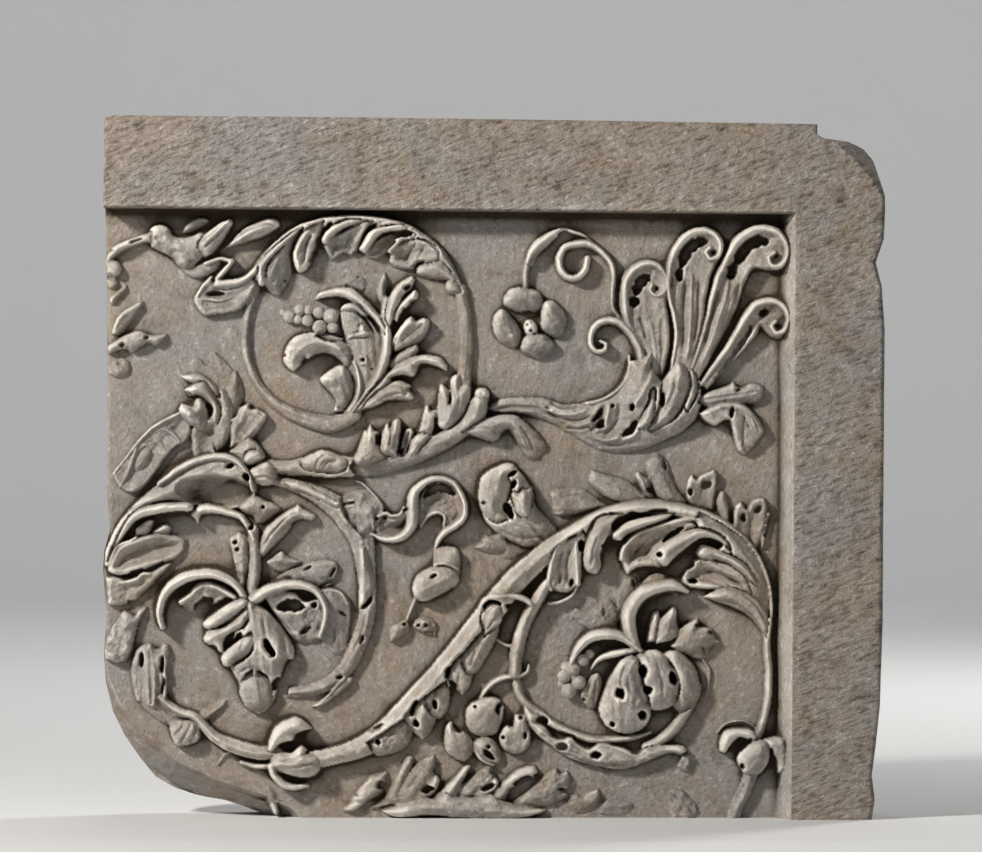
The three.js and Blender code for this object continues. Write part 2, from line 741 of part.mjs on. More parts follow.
function bottomLeaves() {
  return [
    band([[384, 811], [430, 805], [490, 803], [550, 808], [600, 814]], [6, 18, 22, 14, 6], [0.36, 0.42, 0.3]),
    ...fingers([
      [346, 812, 387, 775, 0.08, 24, 0.3, 0.32],
      [394, 806, 412, 758, 0.04, 22, 0.3, 0.3],
      [402, 808, 438, 757, 0.04, 26, 0.34, 0.34],
      [416, 802, 439, 775, 0.04, 16, 0.4, 0.4],
      [440, 802, 470, 767, 0.06, 20, 0.38, 0.36],
      [462, 800, 496, 778, 0.06, 24, 0.36, 0.36],
      [498, 802, 538, 768, 0.08, 18, 0.36, 0.36],
      [520, 802, 571, 775, 0.06, 28, 0.3, 0.3],
      [538, 804, 568, 799, 0, 14, 0.3, 0.26],
      [568, 808, 600, 794, 0.1, 18, 0.26, 0.24],
      [602, 814, 634, 806, 0.08, 16, 0.2, 0.16],
      [694, 812, 674, 792, 0, 24, 0.2, 0.18],
    ]),
  ];
}

function reliefBlock() {
  const carving = [
    ...upperLeftScroll(),
    ...upperLeftLeaf(),
    ...bird(),
    ...leftEdgeLeaves(),
    ...topFlower(),
    ...upperRightFronds(),
    ...frondSheath(),
    ...middleBranch(),
    ...leftCalyx(),
    ...lowerLeftScroll(),
    ...bigLeaf(),
    ...lowerLeftStem(),
    ...mainStem(),
    ...lowerRightScroll(),
    ...innerFlower(),
    ...leavesOverStem(),
    ...ribbonAndBud(),
    ...lowerFlower(),
    ...lowerRightCollar(),
    ...bottomLeaves(),
  ];
  return join([stoneBlock(), ...carving]).simplify(facetTolerance);
}

function meshOf(solid, name, material) {
  const made = solid.getMesh();
  const geometry = new THREE.BufferGeometry();
  geometry.setAttribute("position", new THREE.BufferAttribute(made.vertProperties, made.numProp));
  geometry.setIndex(new THREE.BufferAttribute(made.triVerts, 1));
  geometry.computeVertexNormals();
  const mesh = new THREE.Mesh(geometry, material);
  mesh.name = name;
  return mesh;
}

const marble = new THREE.MeshStandardMaterial({ color: 0xa09384, roughness: 0.72, metalness: 0 });

const plaque = new THREE.Group();
plaque.add(meshOf(reliefBlock(), "relief_block", marble));

export default plaque;
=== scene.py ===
"""A marble relief block with acanthus scrolls, a bird, flowers and berries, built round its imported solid.

The front of the block is a grid of heights over the sunk field. Strokes, domes and drills carve it on a
drawing sheet, which has x to the right and y down, in millimetres at the block's own size.
"""

import functools
import math

import bpy
import numpy as np
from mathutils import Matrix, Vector


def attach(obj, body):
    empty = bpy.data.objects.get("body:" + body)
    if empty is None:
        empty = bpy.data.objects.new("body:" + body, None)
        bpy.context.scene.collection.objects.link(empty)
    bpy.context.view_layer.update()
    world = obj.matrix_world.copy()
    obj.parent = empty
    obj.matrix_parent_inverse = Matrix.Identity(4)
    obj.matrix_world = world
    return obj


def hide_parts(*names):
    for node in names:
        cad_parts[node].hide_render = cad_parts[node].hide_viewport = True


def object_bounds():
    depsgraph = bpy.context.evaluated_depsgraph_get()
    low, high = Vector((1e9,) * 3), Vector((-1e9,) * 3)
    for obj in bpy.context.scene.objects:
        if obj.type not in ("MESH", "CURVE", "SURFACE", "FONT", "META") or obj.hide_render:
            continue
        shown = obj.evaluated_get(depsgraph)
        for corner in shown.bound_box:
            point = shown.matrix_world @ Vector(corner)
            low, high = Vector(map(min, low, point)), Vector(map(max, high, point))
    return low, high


bl_info = {
    "name": "Marble relief block",
    "version": (1, 0, 0),
    "blender": (4, 5, 0),
    "location": "3D View > Sidebar > Relief",
    "description": "Carves a marble relief block with acanthus scrolls and sets a stage for it",
    "category": "Add Mesh",
}

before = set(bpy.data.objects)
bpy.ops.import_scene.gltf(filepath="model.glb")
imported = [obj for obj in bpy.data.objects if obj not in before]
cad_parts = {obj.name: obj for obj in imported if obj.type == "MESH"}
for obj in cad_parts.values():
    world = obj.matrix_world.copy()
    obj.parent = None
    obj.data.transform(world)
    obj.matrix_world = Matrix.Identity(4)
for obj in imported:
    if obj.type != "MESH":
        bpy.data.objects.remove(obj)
CAD_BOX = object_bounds()
LOW, HIGH = CAD_BOX
NODE = "relief_block"
MM = 0.001

# The drawing sheet: its left edge, the foot and the outer edge of the right band, its top, the lower
# edge of the top band, and the underside of the block.
SHEET_LEFT = 100.0
SHEET_BAND = 797.0
SHEET_RIGHT = 886.0
SHEET_TOP = 115.0
SHEET_SOFFIT = 209.0
SHEET_BOTTOM = 820.0

# The block's worn and broken silhouette on the sheet, as sides that are read across or down it.
TOP_SIDE = [(100, 120), (104, 118), (112, 115), (340, 117), (500, 119), (700, 122), (816, 124), (886, 124)]
LEFT_SIDE = [(104, 115), (103, 210), (105, 300), (105, 500), (108, 530), (102, 552), (100.5, 572), (103, 600),
             (104, 620), (101.5, 655), (103, 684), (109, 715), (120, 740), (135, 763), (150, 782), (171, 794),
             (193, 801), (221, 805), (240, 811), (262, 820)]
RIGHT_SIDE = [(816, 124), (822, 130), (847, 132), (866, 140), (875, 152), (880, 172), (885, 190),
              (885.5, 205), (884, 235), (876, 259), (882, 283), (885, 327), (884, 440), (883, 620), (880, 706), (876, 745),
              (872, 775), (875, 800), (872, 820)]
SOFFIT_SIDE = [(100, 206.5), (797, 213), (886, 213)]
BAND_SIDE = [(797, 213), (792, 820)]
CHIP_SIDE = [(812, 118), (834, 139), (850, 156), (868, 174), (884, 198), (900, 214)]
BREAK_SIDE = [(90, 655), (104, 676), (118, 706), (146, 740), (176, 764), (214, 782), (262, 797), (292, 812),
              (310, 830)]


class BlockSizes(bpy.types.PropertyGroup):
    """Sizes of the block and of its carving."""

    band_rise: bpy.props.FloatProperty(
        name="Band rise", description="How far the band stands in front of the field",
        default=0.038, unit="LENGTH")
    bevel_width: bpy.props.FloatProperty(
        name="Bevel width", description="Width of the slope from the right band to the field",
        default=0.015, unit="LENGTH")
    carving_depth: bpy.props.FloatProperty(
        name="Carving depth", description="How deep the carving is, as a share of the written depths",
        default=1.0)
    field_cell: bpy.props.FloatProperty(
        name="Field cell", description="Grid spacing over the carved field",
        default=0.00103, unit="LENGTH")
    band_cell: bpy.props.FloatProperty(
        name="Band cell", description="Grid spacing over the plain bands",
        default=0.0025, unit="LENGTH")


class MarbleLook(bpy.types.PropertyGroup):
    """Colours of the marble."""

    body: bpy.props.FloatVectorProperty(
        name="Body", description="The weathered face of the marble",
        default=(0.33, 0.28, 0.235), size=3, subtype="COLOR")
    # This pale colour is real rubbed wear and, on the raised forms, partly a painted highlight.
    worn: bpy.props.FloatVectorProperty(
        name="Worn", description="Ridges that are rubbed pale",
        default=(0.86, 0.81, 0.74), size=3, subtype="COLOR")
    # This dark brown is both the real dirt in the hollows and the painted shade laid there, and it also
    # colours the dark specks.
    stain_and_shade: bpy.props.FloatVectorProperty(
        name="Stain", description="The brown that lies in the recesses",
        default=(0.05, 0.034, 0.02), size=3, subtype="COLOR")
    ochre: bpy.props.FloatVectorProperty(
        name="Ochre", description="The warm stains in the stone",
        default=(0.3, 0.22, 0.14), size=3, subtype="COLOR")
    vein: bpy.props.FloatVectorProperty(
        name="Vein", description="The cooler grey clouds in the stone",
        default=(0.27, 0.27, 0.275), size=3, subtype="COLOR")


class StageLook(bpy.types.PropertyGroup):
    """The floor and the light."""

    floor: bpy.props.FloatVectorProperty(
        name="Floor", description="Colour of the floor and backdrop",
        default=(0.8, 0.81, 0.82), size=3, subtype="COLOR")
    key_power: bpy.props.FloatProperty(
        name="Key light", description="Strength of the light from the upper left",
        default=117.0, unit="POWER")
    fill_power: bpy.props.FloatProperty(
        name="Fill light", description="Strength of the broad light from the front",
        default=3.5, unit="POWER")
    back_power: bpy.props.FloatProperty(
        name="Back light", description="Strength of the light on the back of the block",
        default=90.0, unit="POWER")
    wall_power: bpy.props.FloatProperty(
        name="Backdrop light", description="Strength of the light on the backdrop",
        default=260.0, unit="POWER")


# Noise

NOISE_CELLS = 1024


@functools.lru_cache(maxsize=None)
def noise_table(seed):
    return np.random.default_rng(seed).uniform(-1.0, 1.0, (NOISE_CELLS, NOISE_CELLS)).astype(np.float32)


def lattice_noise(x, y, spacing, seed):
    """Smooth noise from -1 to 1, with its lattice points this far apart."""
    table = noise_table(seed)
    u = x / spacing + 700.0
    v = y / spacing + 700.0
    i = np.floor(u).astype(int)
    j = np.floor(v).astype(int)
    a = u - i
    b = v - j
    a = a * a * (3 - 2 * a)
    b = b * b * (3 - 2 * b)
    i0, i1, j0, j1 = i % NOISE_CELLS, (i + 1) % NOISE_CELLS, j % NOISE_CELLS, (j + 1) % NOISE_CELLS
    upper = table[j0, i0] * (1 - a) + table[j0, i1] * a
    lower = table[j1, i0] * (1 - a) + table[j1, i1] * a
    return upper * (1 - b) + lower * b


def cloud_noise(x, y, spacing, seed, octaves=3):
    """Lattice noise at several scales, each half as large and half as strong."""
    total = np.zeros_like(x)
    strength = 1.0
    for octave in range(octaves):
        total += strength * lattice_noise(x, y, spacing / 2 ** octave, seed + octave)
        strength *= 0.5
    return total / 1.6


def smooth_step(value, low, high):
    share = np.clip((value - low) / (high - low), 0.0, 1.0)
    return share * share * (3 - 2 * share)


def read_side(side, at, axis):
    """Where a side crosses the given positions along an axis, 0 for x and 1 for y."""
    points = np.array(side, float)
    return np.interp(at, points[:, axis], points[:, 1 - axis])


def box_blur(values, cells):
    """A mean over a square of this many cells each way."""
    out = values
    for axis in (0, 1):
        padded = np.pad(out, [(cells + 1, cells) if k == axis else (0, 0) for k in (0, 1)], mode="edge")
        total = np.cumsum(padded, axis=axis, dtype=np.float64)
        size = 2 * cells + 1
        upper = np.take(total, range(size, total.shape[axis]), axis=axis)
        lower = np.take(total, range(0, total.shape[axis] - size), axis=axis)
        out = (upper - lower) / size
    return out


ROUNDNESS = 0.68


# Cross-sections: the height across a stroke as a share of its rise, from -1 at its left edge
# over 0 on its line to 1 at its right edge, as one walks along it.


def rounded(s):
    return 0.25 + 0.75 * np.clip(1 - s * s, 0, 1) ** ROUNDNESS


def keeled(s):
    return 1.0 - 0.42 * np.abs(s) ** 1.3


def creased(s):
    """Two convex halves with a groove between them."""
    a = np.abs(s)
    groove = 1 - smooth_step(a, 0.0, 0.35)
    return (1.0 - 0.3 * groove) * (1 - 0.5 * smooth_step(a, 0.5, 1.0) ** 2)


def hooded(s):
    """A lip on the left side that turns down into a hollow on the right."""
    return np.interp(s, (-1, -0.85, -0.5, -0.1, 0.5, 1), (0.6, 0.95, 1.0, 0.72, 0.42, 0.34))


def turned(s):
    """The hood seen the other way round: its lip is on the right side."""
    return hooded(-s)


def ribbed(s):
    """Several fine ribs that run along the form."""
    return rounded(s) * (1 - 0.16 * (0.5 + 0.5 * np.cos(s * 14.0)))


def chisel_lines(along, across):
    """Fine uneven lines that a chisel leaves along a form, in millimetres."""
    fine = lattice_noise(along / 8.0, across, 3.4, 37)
    broad = lattice_noise(along / 6.0, across, 7.0, 38)
    return 1.2 * fine + 0.8 * broad


def finger_width(share):
    """How wide a leaf finger is along its length, as a share of its full width."""
    swell = 0.68 + 0.32 * np.sin(np.pi / 2 * np.clip(share / 0.45, 0, 1))
    taper = 1 - 0.82 * np.clip((share - 0.45) / 0.55, 0, 1) ** 2.2
    return swell * taper


SHARP_TURN = 1.3
DOMED = 0.95
FOOT = 0.36


def smooth_path(points, closed=False, spacing=2.5):
    """Evenly spaced points of a smooth curve through x, y, x, y and so on. It keeps sharp corners."""
    given = np.reshape(points, (-1, 2)).astype(float)
    if closed:
        before = np.roll(given, 1, axis=0)
        after = np.roll(given, -1, axis=0)
    else:
        before = np.vstack([2 * given[0] - given[1], given[:-1]])
        after = np.vstack([given[1:], 2 * given[-1] - given[-2]])
    came = given - before
    goes = after - given
    turn = np.abs(np.arctan2(came[:, 0] * goes[:, 1] - came[:, 1] * goes[:, 0], (came * goes).sum(1)))
    corner = (turn > SHARP_TURN)[:, None]
    before = np.where(corner, given, before)
    after = np.where(corner, given, after)
    share = np.linspace(0, 1, 8, endpoint=False)[:, None]
    pieces = []
    for k in range(len(given) - (0 if closed else 1)):
        n = (k + 1) % len(given)
        a, b, c, d = before[k], given[k], given[n], after[n]
        pieces.append(0.5 * (2 * b + (c - a) * share + (2 * a - 5 * b + 4 * c - d) * share ** 2
                             + (3 * b - a - 3 * c + d) * share ** 3))
    curve = np.vstack(pieces + [given[:1] if closed else given[-1:]])
    length = np.concatenate([[0], np.cumsum(np.hypot(*np.diff(curve, axis=0).T))])
    steps = max(4, int(round(length[-1] / spacing)))
    even = np.linspace(0, length[-1], steps + 1)
    return np.column_stack([np.interp(even, length, curve[:, 0]), np.interp(even, length, curve[:, 1])])


def bent_path(x0, y0, x1, y1, bend, spacing=2.5):
    """Points along a bow from a root to a tip, bent sideways by a share of its length."""
    root = np.array([x0, y0], float)
    tip = np.array([x1, y1], float)
    along = tip - root
    middle = (root + tip) / 2 + bend * np.array([-along[1], along[0]])
    steps = max(4, int(round(np.hypot(*along) / spacing)))
    share = np.linspace(0, 1, steps + 1)[:, None]
    return (1 - share) ** 2 * root + 2 * share * (1 - share) * middle + share ** 2 * tip


class Relief:
    """The front of the block: heights in front of the sunk field, in millimetres, at points of the sheet."""

    def __init__(self, sizes):
        self.depth = sizes.carving_depth
        self.band_rise = sizes.band_rise / MM
        self.bevel = sizes.bevel_width / MM
        self.lay_grid(sizes.field_cell / MM, sizes.band_cell / MM)
        self.wander_x = self.x + 0.6 * cloud_noise(self.x, self.y, 12.0, 11)
        self.wander_y = self.y + 0.6 * cloud_noise(self.x, self.y, 12.0, 23)
        self.near = np.full(self.x.shape, np.inf, np.float32)
        self.along = np.zeros(self.x.shape, np.float32)
        self.side = np.zeros(self.x.shape, np.float32)
        self.height = -1.2 + 0.9 * cloud_noise(self.x, self.y, 60.0, 5)
        self.height = np.minimum(self.height, -0.1)

    def lay_grid(self, field_cell, band_cell):
        """Rows and columns that follow the block's sides, the soffit and the foot of the right band."""
        field_columns = int((SHEET_BAND - SHEET_LEFT) / field_cell)
        band_columns = int((SHEET_RIGHT - SHEET_BAND) / band_cell)
        field_rows = int((SHEET_BOTTOM - SHEET_SOFFIT) / field_cell)
        band_rows = int((SHEET_SOFFIT - SHEET_TOP) / band_cell)
        nominal = np.concatenate([
            np.linspace(SHEET_TOP, SHEET_SOFFIT, band_rows + 1),
            np.linspace(SHEET_SOFFIT, SHEET_BOTTOM, field_rows + 1)[1:],
        ])
        left = read_side(LEFT_SIDE, nominal, 1)[:, None]
        foot = read_side(BAND_SIDE, nominal, 1)[:, None]
        right = read_side(RIGHT_SIDE, np.maximum(nominal, 125.5), 1)[:, None]
        over_field = np.linspace(0, 1, field_columns + 1)[None, :]
        over_band = np.linspace(0, 1, band_columns + 1)[None, 1:]
        x = np.hstack([left + over_field * (foot - left), foot + over_band * (right - foot)])
        top = read_side(TOP_SIDE, x, 0)
        soffit = read_side(SOFFIT_SIDE, x, 0)
        above = (nominal[:, None] - SHEET_TOP) / (SHEET_SOFFIT - SHEET_TOP)
        below = (nominal[:, None] - SHEET_SOFFIT) / (SHEET_BOTTOM - SHEET_SOFFIT)
        y = np.where(above <= 1, top + above * (soffit - top), soffit + below * (SHEET_BOTTOM - soffit))
        self.soffit_row = band_rows
        self.foot_column = field_columns
        self.x, self.y = x, y
        self.row_low, self.row_high = y.min(1), y.max(1)

    def window(self, low_x, low_y, high_x, high_y):
        """The part of the grid that covers a box of the sheet."""
        rows = np.flatnonzero((self.row_high >= low_y) & (self.row_low <= high_y))
        if not len(rows):
            return None
        rows = slice(rows[0], rows[-1] + 1)
        band = self.x[rows]
        columns = np.flatnonzero((band.max(0) >= low_x) & (band.min(0) <= high_x))
        if not len(columns):
            return None
        return rows, slice(columns[0], columns[-1] + 1)

    def trace(self, path, reach):
        """Finds, near a path, the distance to it, the share of the way along it and the side of it."""
        low, high = path.min(0) - reach, path.max(0) + reach
        whole = self.window(*low, *high)
        if whole is None:
            return None
        self.near[whole] = np.inf
        steps = len(path) - 1
        for k in range(steps):
            a, b = path[k], path[k + 1]
            part = self.window(*(np.minimum(a, b) - reach), *(np.maximum(a, b) + reach))
            if part is None:
                continue
            run = b - a
            length = max(float(run @ run), 1e-9)
            dx = self.wander_x[part] - a[0]
            dy = self.wander_y[part] - a[1]
            share = np.clip((dx * run[0] + dy * run[1]) / length, 0, 1)
            off = np.hypot(dx - share * run[0], dy - share * run[1])
            near = self.near[part]
            closer = off < near
            near[closer] = off[closer]
            self.along[part][closer] = ((k + share) / steps)[closer]
            self.side[part][closer] = np.sign(run[0] * dy - run[1] * dx)[closer]
        return whole

    def lay(self, path, half_width, rise, section):
        """Raises a form along a path."""
        reach = float(np.max(half_width(np.linspace(0, 1, 21)))) + 1.5
        whole = self.trace(path, reach)
        if whole is None:
            return
        near, along, side = self.near[whole], self.along[whole], self.side[whole]
        half = np.maximum(half_width(along), 0.6)
        height = self.height[whole]
        top = rise(along) * self.depth
        inside = near <= half
        surface = top * section(np.clip(side * near / half, -1, 1))
        surface += chisel_lines(along * len(path) * 1.5, side * near + 50.0)
        height[inside] = np.maximum(height, surface)[inside]

    def band(self, path, widths, rises, section=rounded):
        """A stem or ribbon, with widths and rises that are spread evenly along it."""
        spots = np.linspace(0, 1, len(widths))
        levels = np.linspace(0, 1, len(rises))
        self.lay(smooth_path(path, spacing=1.5), lambda t: np.interp(t, spots, widths) / 2,
                 lambda t: np.interp(t, levels, rises), section)

    def fingers(self, rows, section=creased):
        """Leaf fingers: root, tip, bend, width, and the rise at the root and at the tip."""
        for x0, y0, x1, y1, bend, width, root, tip in rows:
            self.lay(bent_path(x0, y0, x1, y1, bend), lambda t: width / 2 * finger_width(t),
                     lambda t: root + (tip - root) * t, section)

    def inside(self, part, loop):
        """Which grid points of a part lie within a closed path."""
        x, y = self.wander_x[part], self.wander_y[part]
        within = np.zeros(x.shape, bool)
        for a, b in zip(loop[:-1], loop[1:]):
            if a[1] != b[1]:
                crossing = a[0] + (b[0] - a[0]) * (y - a[1]) / (b[1] - a[1])
                within ^= ((a[1] > y) != (b[1] > y)) & (x < crossing)
        return within

    def slab(self, outline, rise, edge=5.0, dish=0.0, lean=(-0.15, -0.2)):
        """A leaf, petal or body within an outline: domed, or dished inside a rim, and higher one way."""
        loop = smooth_path(outline, closed=True, spacing=2.0)
        whole = self.trace(loop, 20.0)
        if whole is None:
            return
        within = self.inside(whole, loop)
        if not within.any():
            return
        near = np.minimum(self.near[whole], 20.0)
        deepest = float(near[within].max())
        edge = min(edge, deepest) if dish > 0 else DOMED * deepest
        middle = loop.mean(0)
        fall = lean[0] * (self.wander_x[whole] - middle[0]) + lean[1] * (self.wander_y[whole] - middle[1])
        top = self.depth * np.maximum(rise + fall, 1.0)
        roll = np.clip(1 - near / edge, 0, 1)
        surface = top * (FOOT + (1 - FOOT) * (1 - roll * roll) ** ROUNDNESS)
        surface -= self.depth * dish * smooth_step(near, 0.35 * edge, max(deepest, 0.8 * edge))
        main = np.linalg.svd(loop - middle, full_matrices=False)[2][0]
        dx = self.wander_x[whole] - middle[0]
        dy = self.wander_y[whole] - middle[1]
        along = main[0] * dx + main[1] * dy + middle[0]
        across = main[0] * dy - main[1] * dx + middle[1]
        surface += chisel_lines(along, across)
        height = self.height[whole]
        height[within] = np.maximum(surface, 0.5)[within]

    def domes(self, rows):
        """Rounded forms: centre, half width, half height, turn in degrees, and rise."""
        for x, y, half_x, half_y, turn, rise in rows:
            q = self.measure(x, y, half_x, half_y, turn, 1.5)
            if q is None:
                continue
            part, q = q
            height = self.height[part]
            top = rise * self.depth
            inside = q <= 1
            surface = top * (0.35 + 0.65 * np.sqrt(np.clip(1 - q * q, 0, 1)))
            height[inside] = np.maximum(height, surface)[inside]

    def measure(self, x, y, half_x, half_y, turn, spare):
        """The grid round an ellipse, and how far out each point lies, as 1 on the ellipse."""
        reach = max(half_x, half_y) + spare
        part = self.window(x - reach, y - reach, x + reach, y + reach)
        if part is None:
            return None
        angle = math.radians(turn)
        dx = self.wander_x[part] - x
        dy = self.wander_y[part] - y
        u = (dx * math.cos(angle) + dy * math.sin(angle)) / half_x
        v = (-dx * math.sin(angle) + dy * math.cos(angle)) / half_y
        return part, np.hypot(u, v)

    def drills(self, rows):
        """Drilled channels and holes with drawn-out ends: radius, height of the floor, and the points."""
        for radius, floor, *points in rows:
            lone = len(points) == 2
            path = smooth_path(points + [points[0] + 0.5, points[1]] if lone else points, spacing=1.5)
            whole = self.trace(path, radius + 3)
            if whole is None:
                continue
            near, along = self.near[whole], self.along[whole]
            drawn = 0.0 if lone else 0.75 * (1 - np.sqrt(np.clip(4 * along * (1 - along), 0, 1)))
            ragged = 0.25 * lattice_noise(self.x[whole], self.y[whole], 3.5, 33)
            reach = near + radius * (drawn + ragged)
            wall = floor + 0.4 * reach + np.clip(reach - radius * 0.7, 0, 9) * 13.0
            height = self.height[whole]
            height[:] = np.where(near < radius + 2.5, np.minimum(height, wall), height)

    def grooves(self, rows):
        """Lines cut into what is there, or raised from it: width, depth, and the points of the path."""
        for width, depth, *points in rows:
            whole = self.trace(smooth_path(points), width * 1.4)
            if whole is None:
                continue
            near, along = self.near[whole], self.along[whole]
            fade = smooth_step(along, 0, 0.12) * smooth_step(1 - along, 0, 0.12)
            cut = depth * self.depth * fade * np.exp(-(near / (0.5 * width)) ** 2)
            height = self.height[whole]
            lowered = np.maximum(height - cut, np.minimum(height, -0.6))
            height[:] = np.where(near < width * 1.4, lowered, height)

    def hollows(self, rows):
        """Smooth scoops: centre, half width, half height, turn in degrees, and depth."""
        for x, y, half_x, half_y, turn, depth in rows:
            found = self.measure(x, y, half_x, half_y, turn, 2.0)
            if found is None:
                continue
            part, q = found
            bowl = np.clip(1 - q * q, 0, 1)
            height = self.height[part]
            lowered = np.maximum(height - depth * self.depth * bowl * (2 - bowl), 0.0)
            height[:] = np.where(q < 1, lowered, height)

    def roughen(self, rows, seed=7):
        """Broken stone: centre, half width, half height, turn in degrees, and how rough."""
        for x, y, half_x, half_y, turn, rough in rows:
            found = self.measure(x, y, half_x, half_y, turn, 2.0)
            if found is None:
                continue
            part, q = found
            fade = smooth_step(1 - q, 0, 0.35)
            lumps = cloud_noise(self.x[part], self.y[part], 9.0, seed, 3)
            self.height[part] += rough * fade * lumps * (self.height[part] > 1.0)

# The carving, one function for each part. Paths are written as x, y, x, y on the drawing sheet.


def carve_upper_left_scroll(relief):
    """The scroll in the upper left corner: its stem, and the band of lobes that hangs over its top."""
    relief.band([257, 282, 246, 316, 245, 352, 259, 387, 286, 411, 322, 423, 340, 422, 354, 415], (8, 8,
        9, 9, 10, 12, 16, 18, 14), (7, 8, 9, 9, 10, 12, 14, 14))
    relief.slab([333, 412, 335, 402, 338, 408, 346, 411], 12)
    relief.band([461, 288, 466, 335, 463, 384, 457, 404], (12, 14, 14, 16), (11, 10, 10, 12), keeled)
    relief.band([254, 273, 264, 258, 296, 232, 330, 220.5, 370, 220, 404, 228, 434, 248, 446, 263,
        462, 292], (8, 12, 13, 12, 12, 12, 13, 12, 9), (18, 26, 29, 30, 30, 29, 25, 18, 12))
    relief.slab([447, 280, 453, 278, 460, 284, 463, 291, 456, 294, 448, 293, 444, 287], 13)
    relief.slab([416, 273, 418, 265, 440, 261, 456, 275, 457, 281, 425, 277], 17, lean=(0.1, -0.4))
    relief.slab([390, 253, 396, 244, 417, 237, 430, 241, 439, 250, 440, 260, 428, 263, 418, 262, 411, 269,
        391, 265], 16, edge=5, dish=7, lean=(0.15, -0.35))
    relief.slab([393, 238, 397, 233, 405, 234, 412, 231, 417, 234, 411, 239, 402, 241, 390, 253, 387, 251,
        389, 245, 396, 241], 26, lean=(0, 0))
    relief.slab([364, 253, 379, 237, 402, 229, 413, 232, 410, 236, 396, 238, 393, 245, 378, 257, 368, 257],
        7, edge=3, dish=4, lean=(0, 0))
    relief.slab([359, 247, 371, 229, 398, 223, 410, 227, 402, 230, 388, 231, 378, 236, 366, 252, 361, 251],
        28, lean=(-0.05, -0.4))
    relief.slab([323, 244, 334, 235, 360, 221, 374, 220, 366, 229, 357, 248, 350, 255, 344, 252, 331, 260,
        326, 253], 15, edge=4, dish=6, lean=(0, -0.45))
    relief.slab([323, 230, 345, 218, 372, 220, 344, 228, 326, 243, 321, 242], 29, lean=(0, 0))
    relief.slab([306, 227, 325, 219, 310, 262, 303, 271, 296, 270, 292, 250], 22, edge=5, dish=4,
        lean=(-0.55, -0.15))
    relief.slab([262, 256, 290, 232, 304, 226, 292, 249, 290, 275, 277, 297, 269, 292, 263, 284, 257, 283,
        254, 276], 19, lean=(-0.55, -0.12))
    relief.slab([254, 269, 261, 257, 289, 233, 303, 226, 270, 260, 264, 284, 258, 285], 29, lean=(0, 0))
    relief.drills([(2.2, 2, 331, 222, 323, 230, 320, 238), (1.0, 8, 303, 227, 296, 239, 292, 251), (1.3, 6,
        361, 238, 366, 229, 376, 223), (1.3, 3, 411, 266, 424, 261), (1.5, 2, 284, 280), (1.5, 2, 282, 290),
        (1.5, 2, 276, 295), (1.0, 2, 343, 252), (2.5, 2, 318, 236, 315, 250, 308, 262)])
    relief.grooves([(2.5, 5, 311, 233, 305, 247, 303, 264), (2, 4, 372, 226, 384, 221, 397, 220), (2, 3,
        333, 223, 347, 219, 358, 218), (2, 3, 340, 233, 335, 246, 333, 256), (2, 3, 352, 230, 343, 250),
        (2, 3, 418, 240, 410, 250, 404, 262), (1.8, 4, 416, 236, 427, 241, 438, 251), (2, 3, 425, 244,
        416, 260), (2, 3, 283, 252, 276, 268, 273, 284), (1.6, -3, 430, 261, 441, 262, 450, 271)])


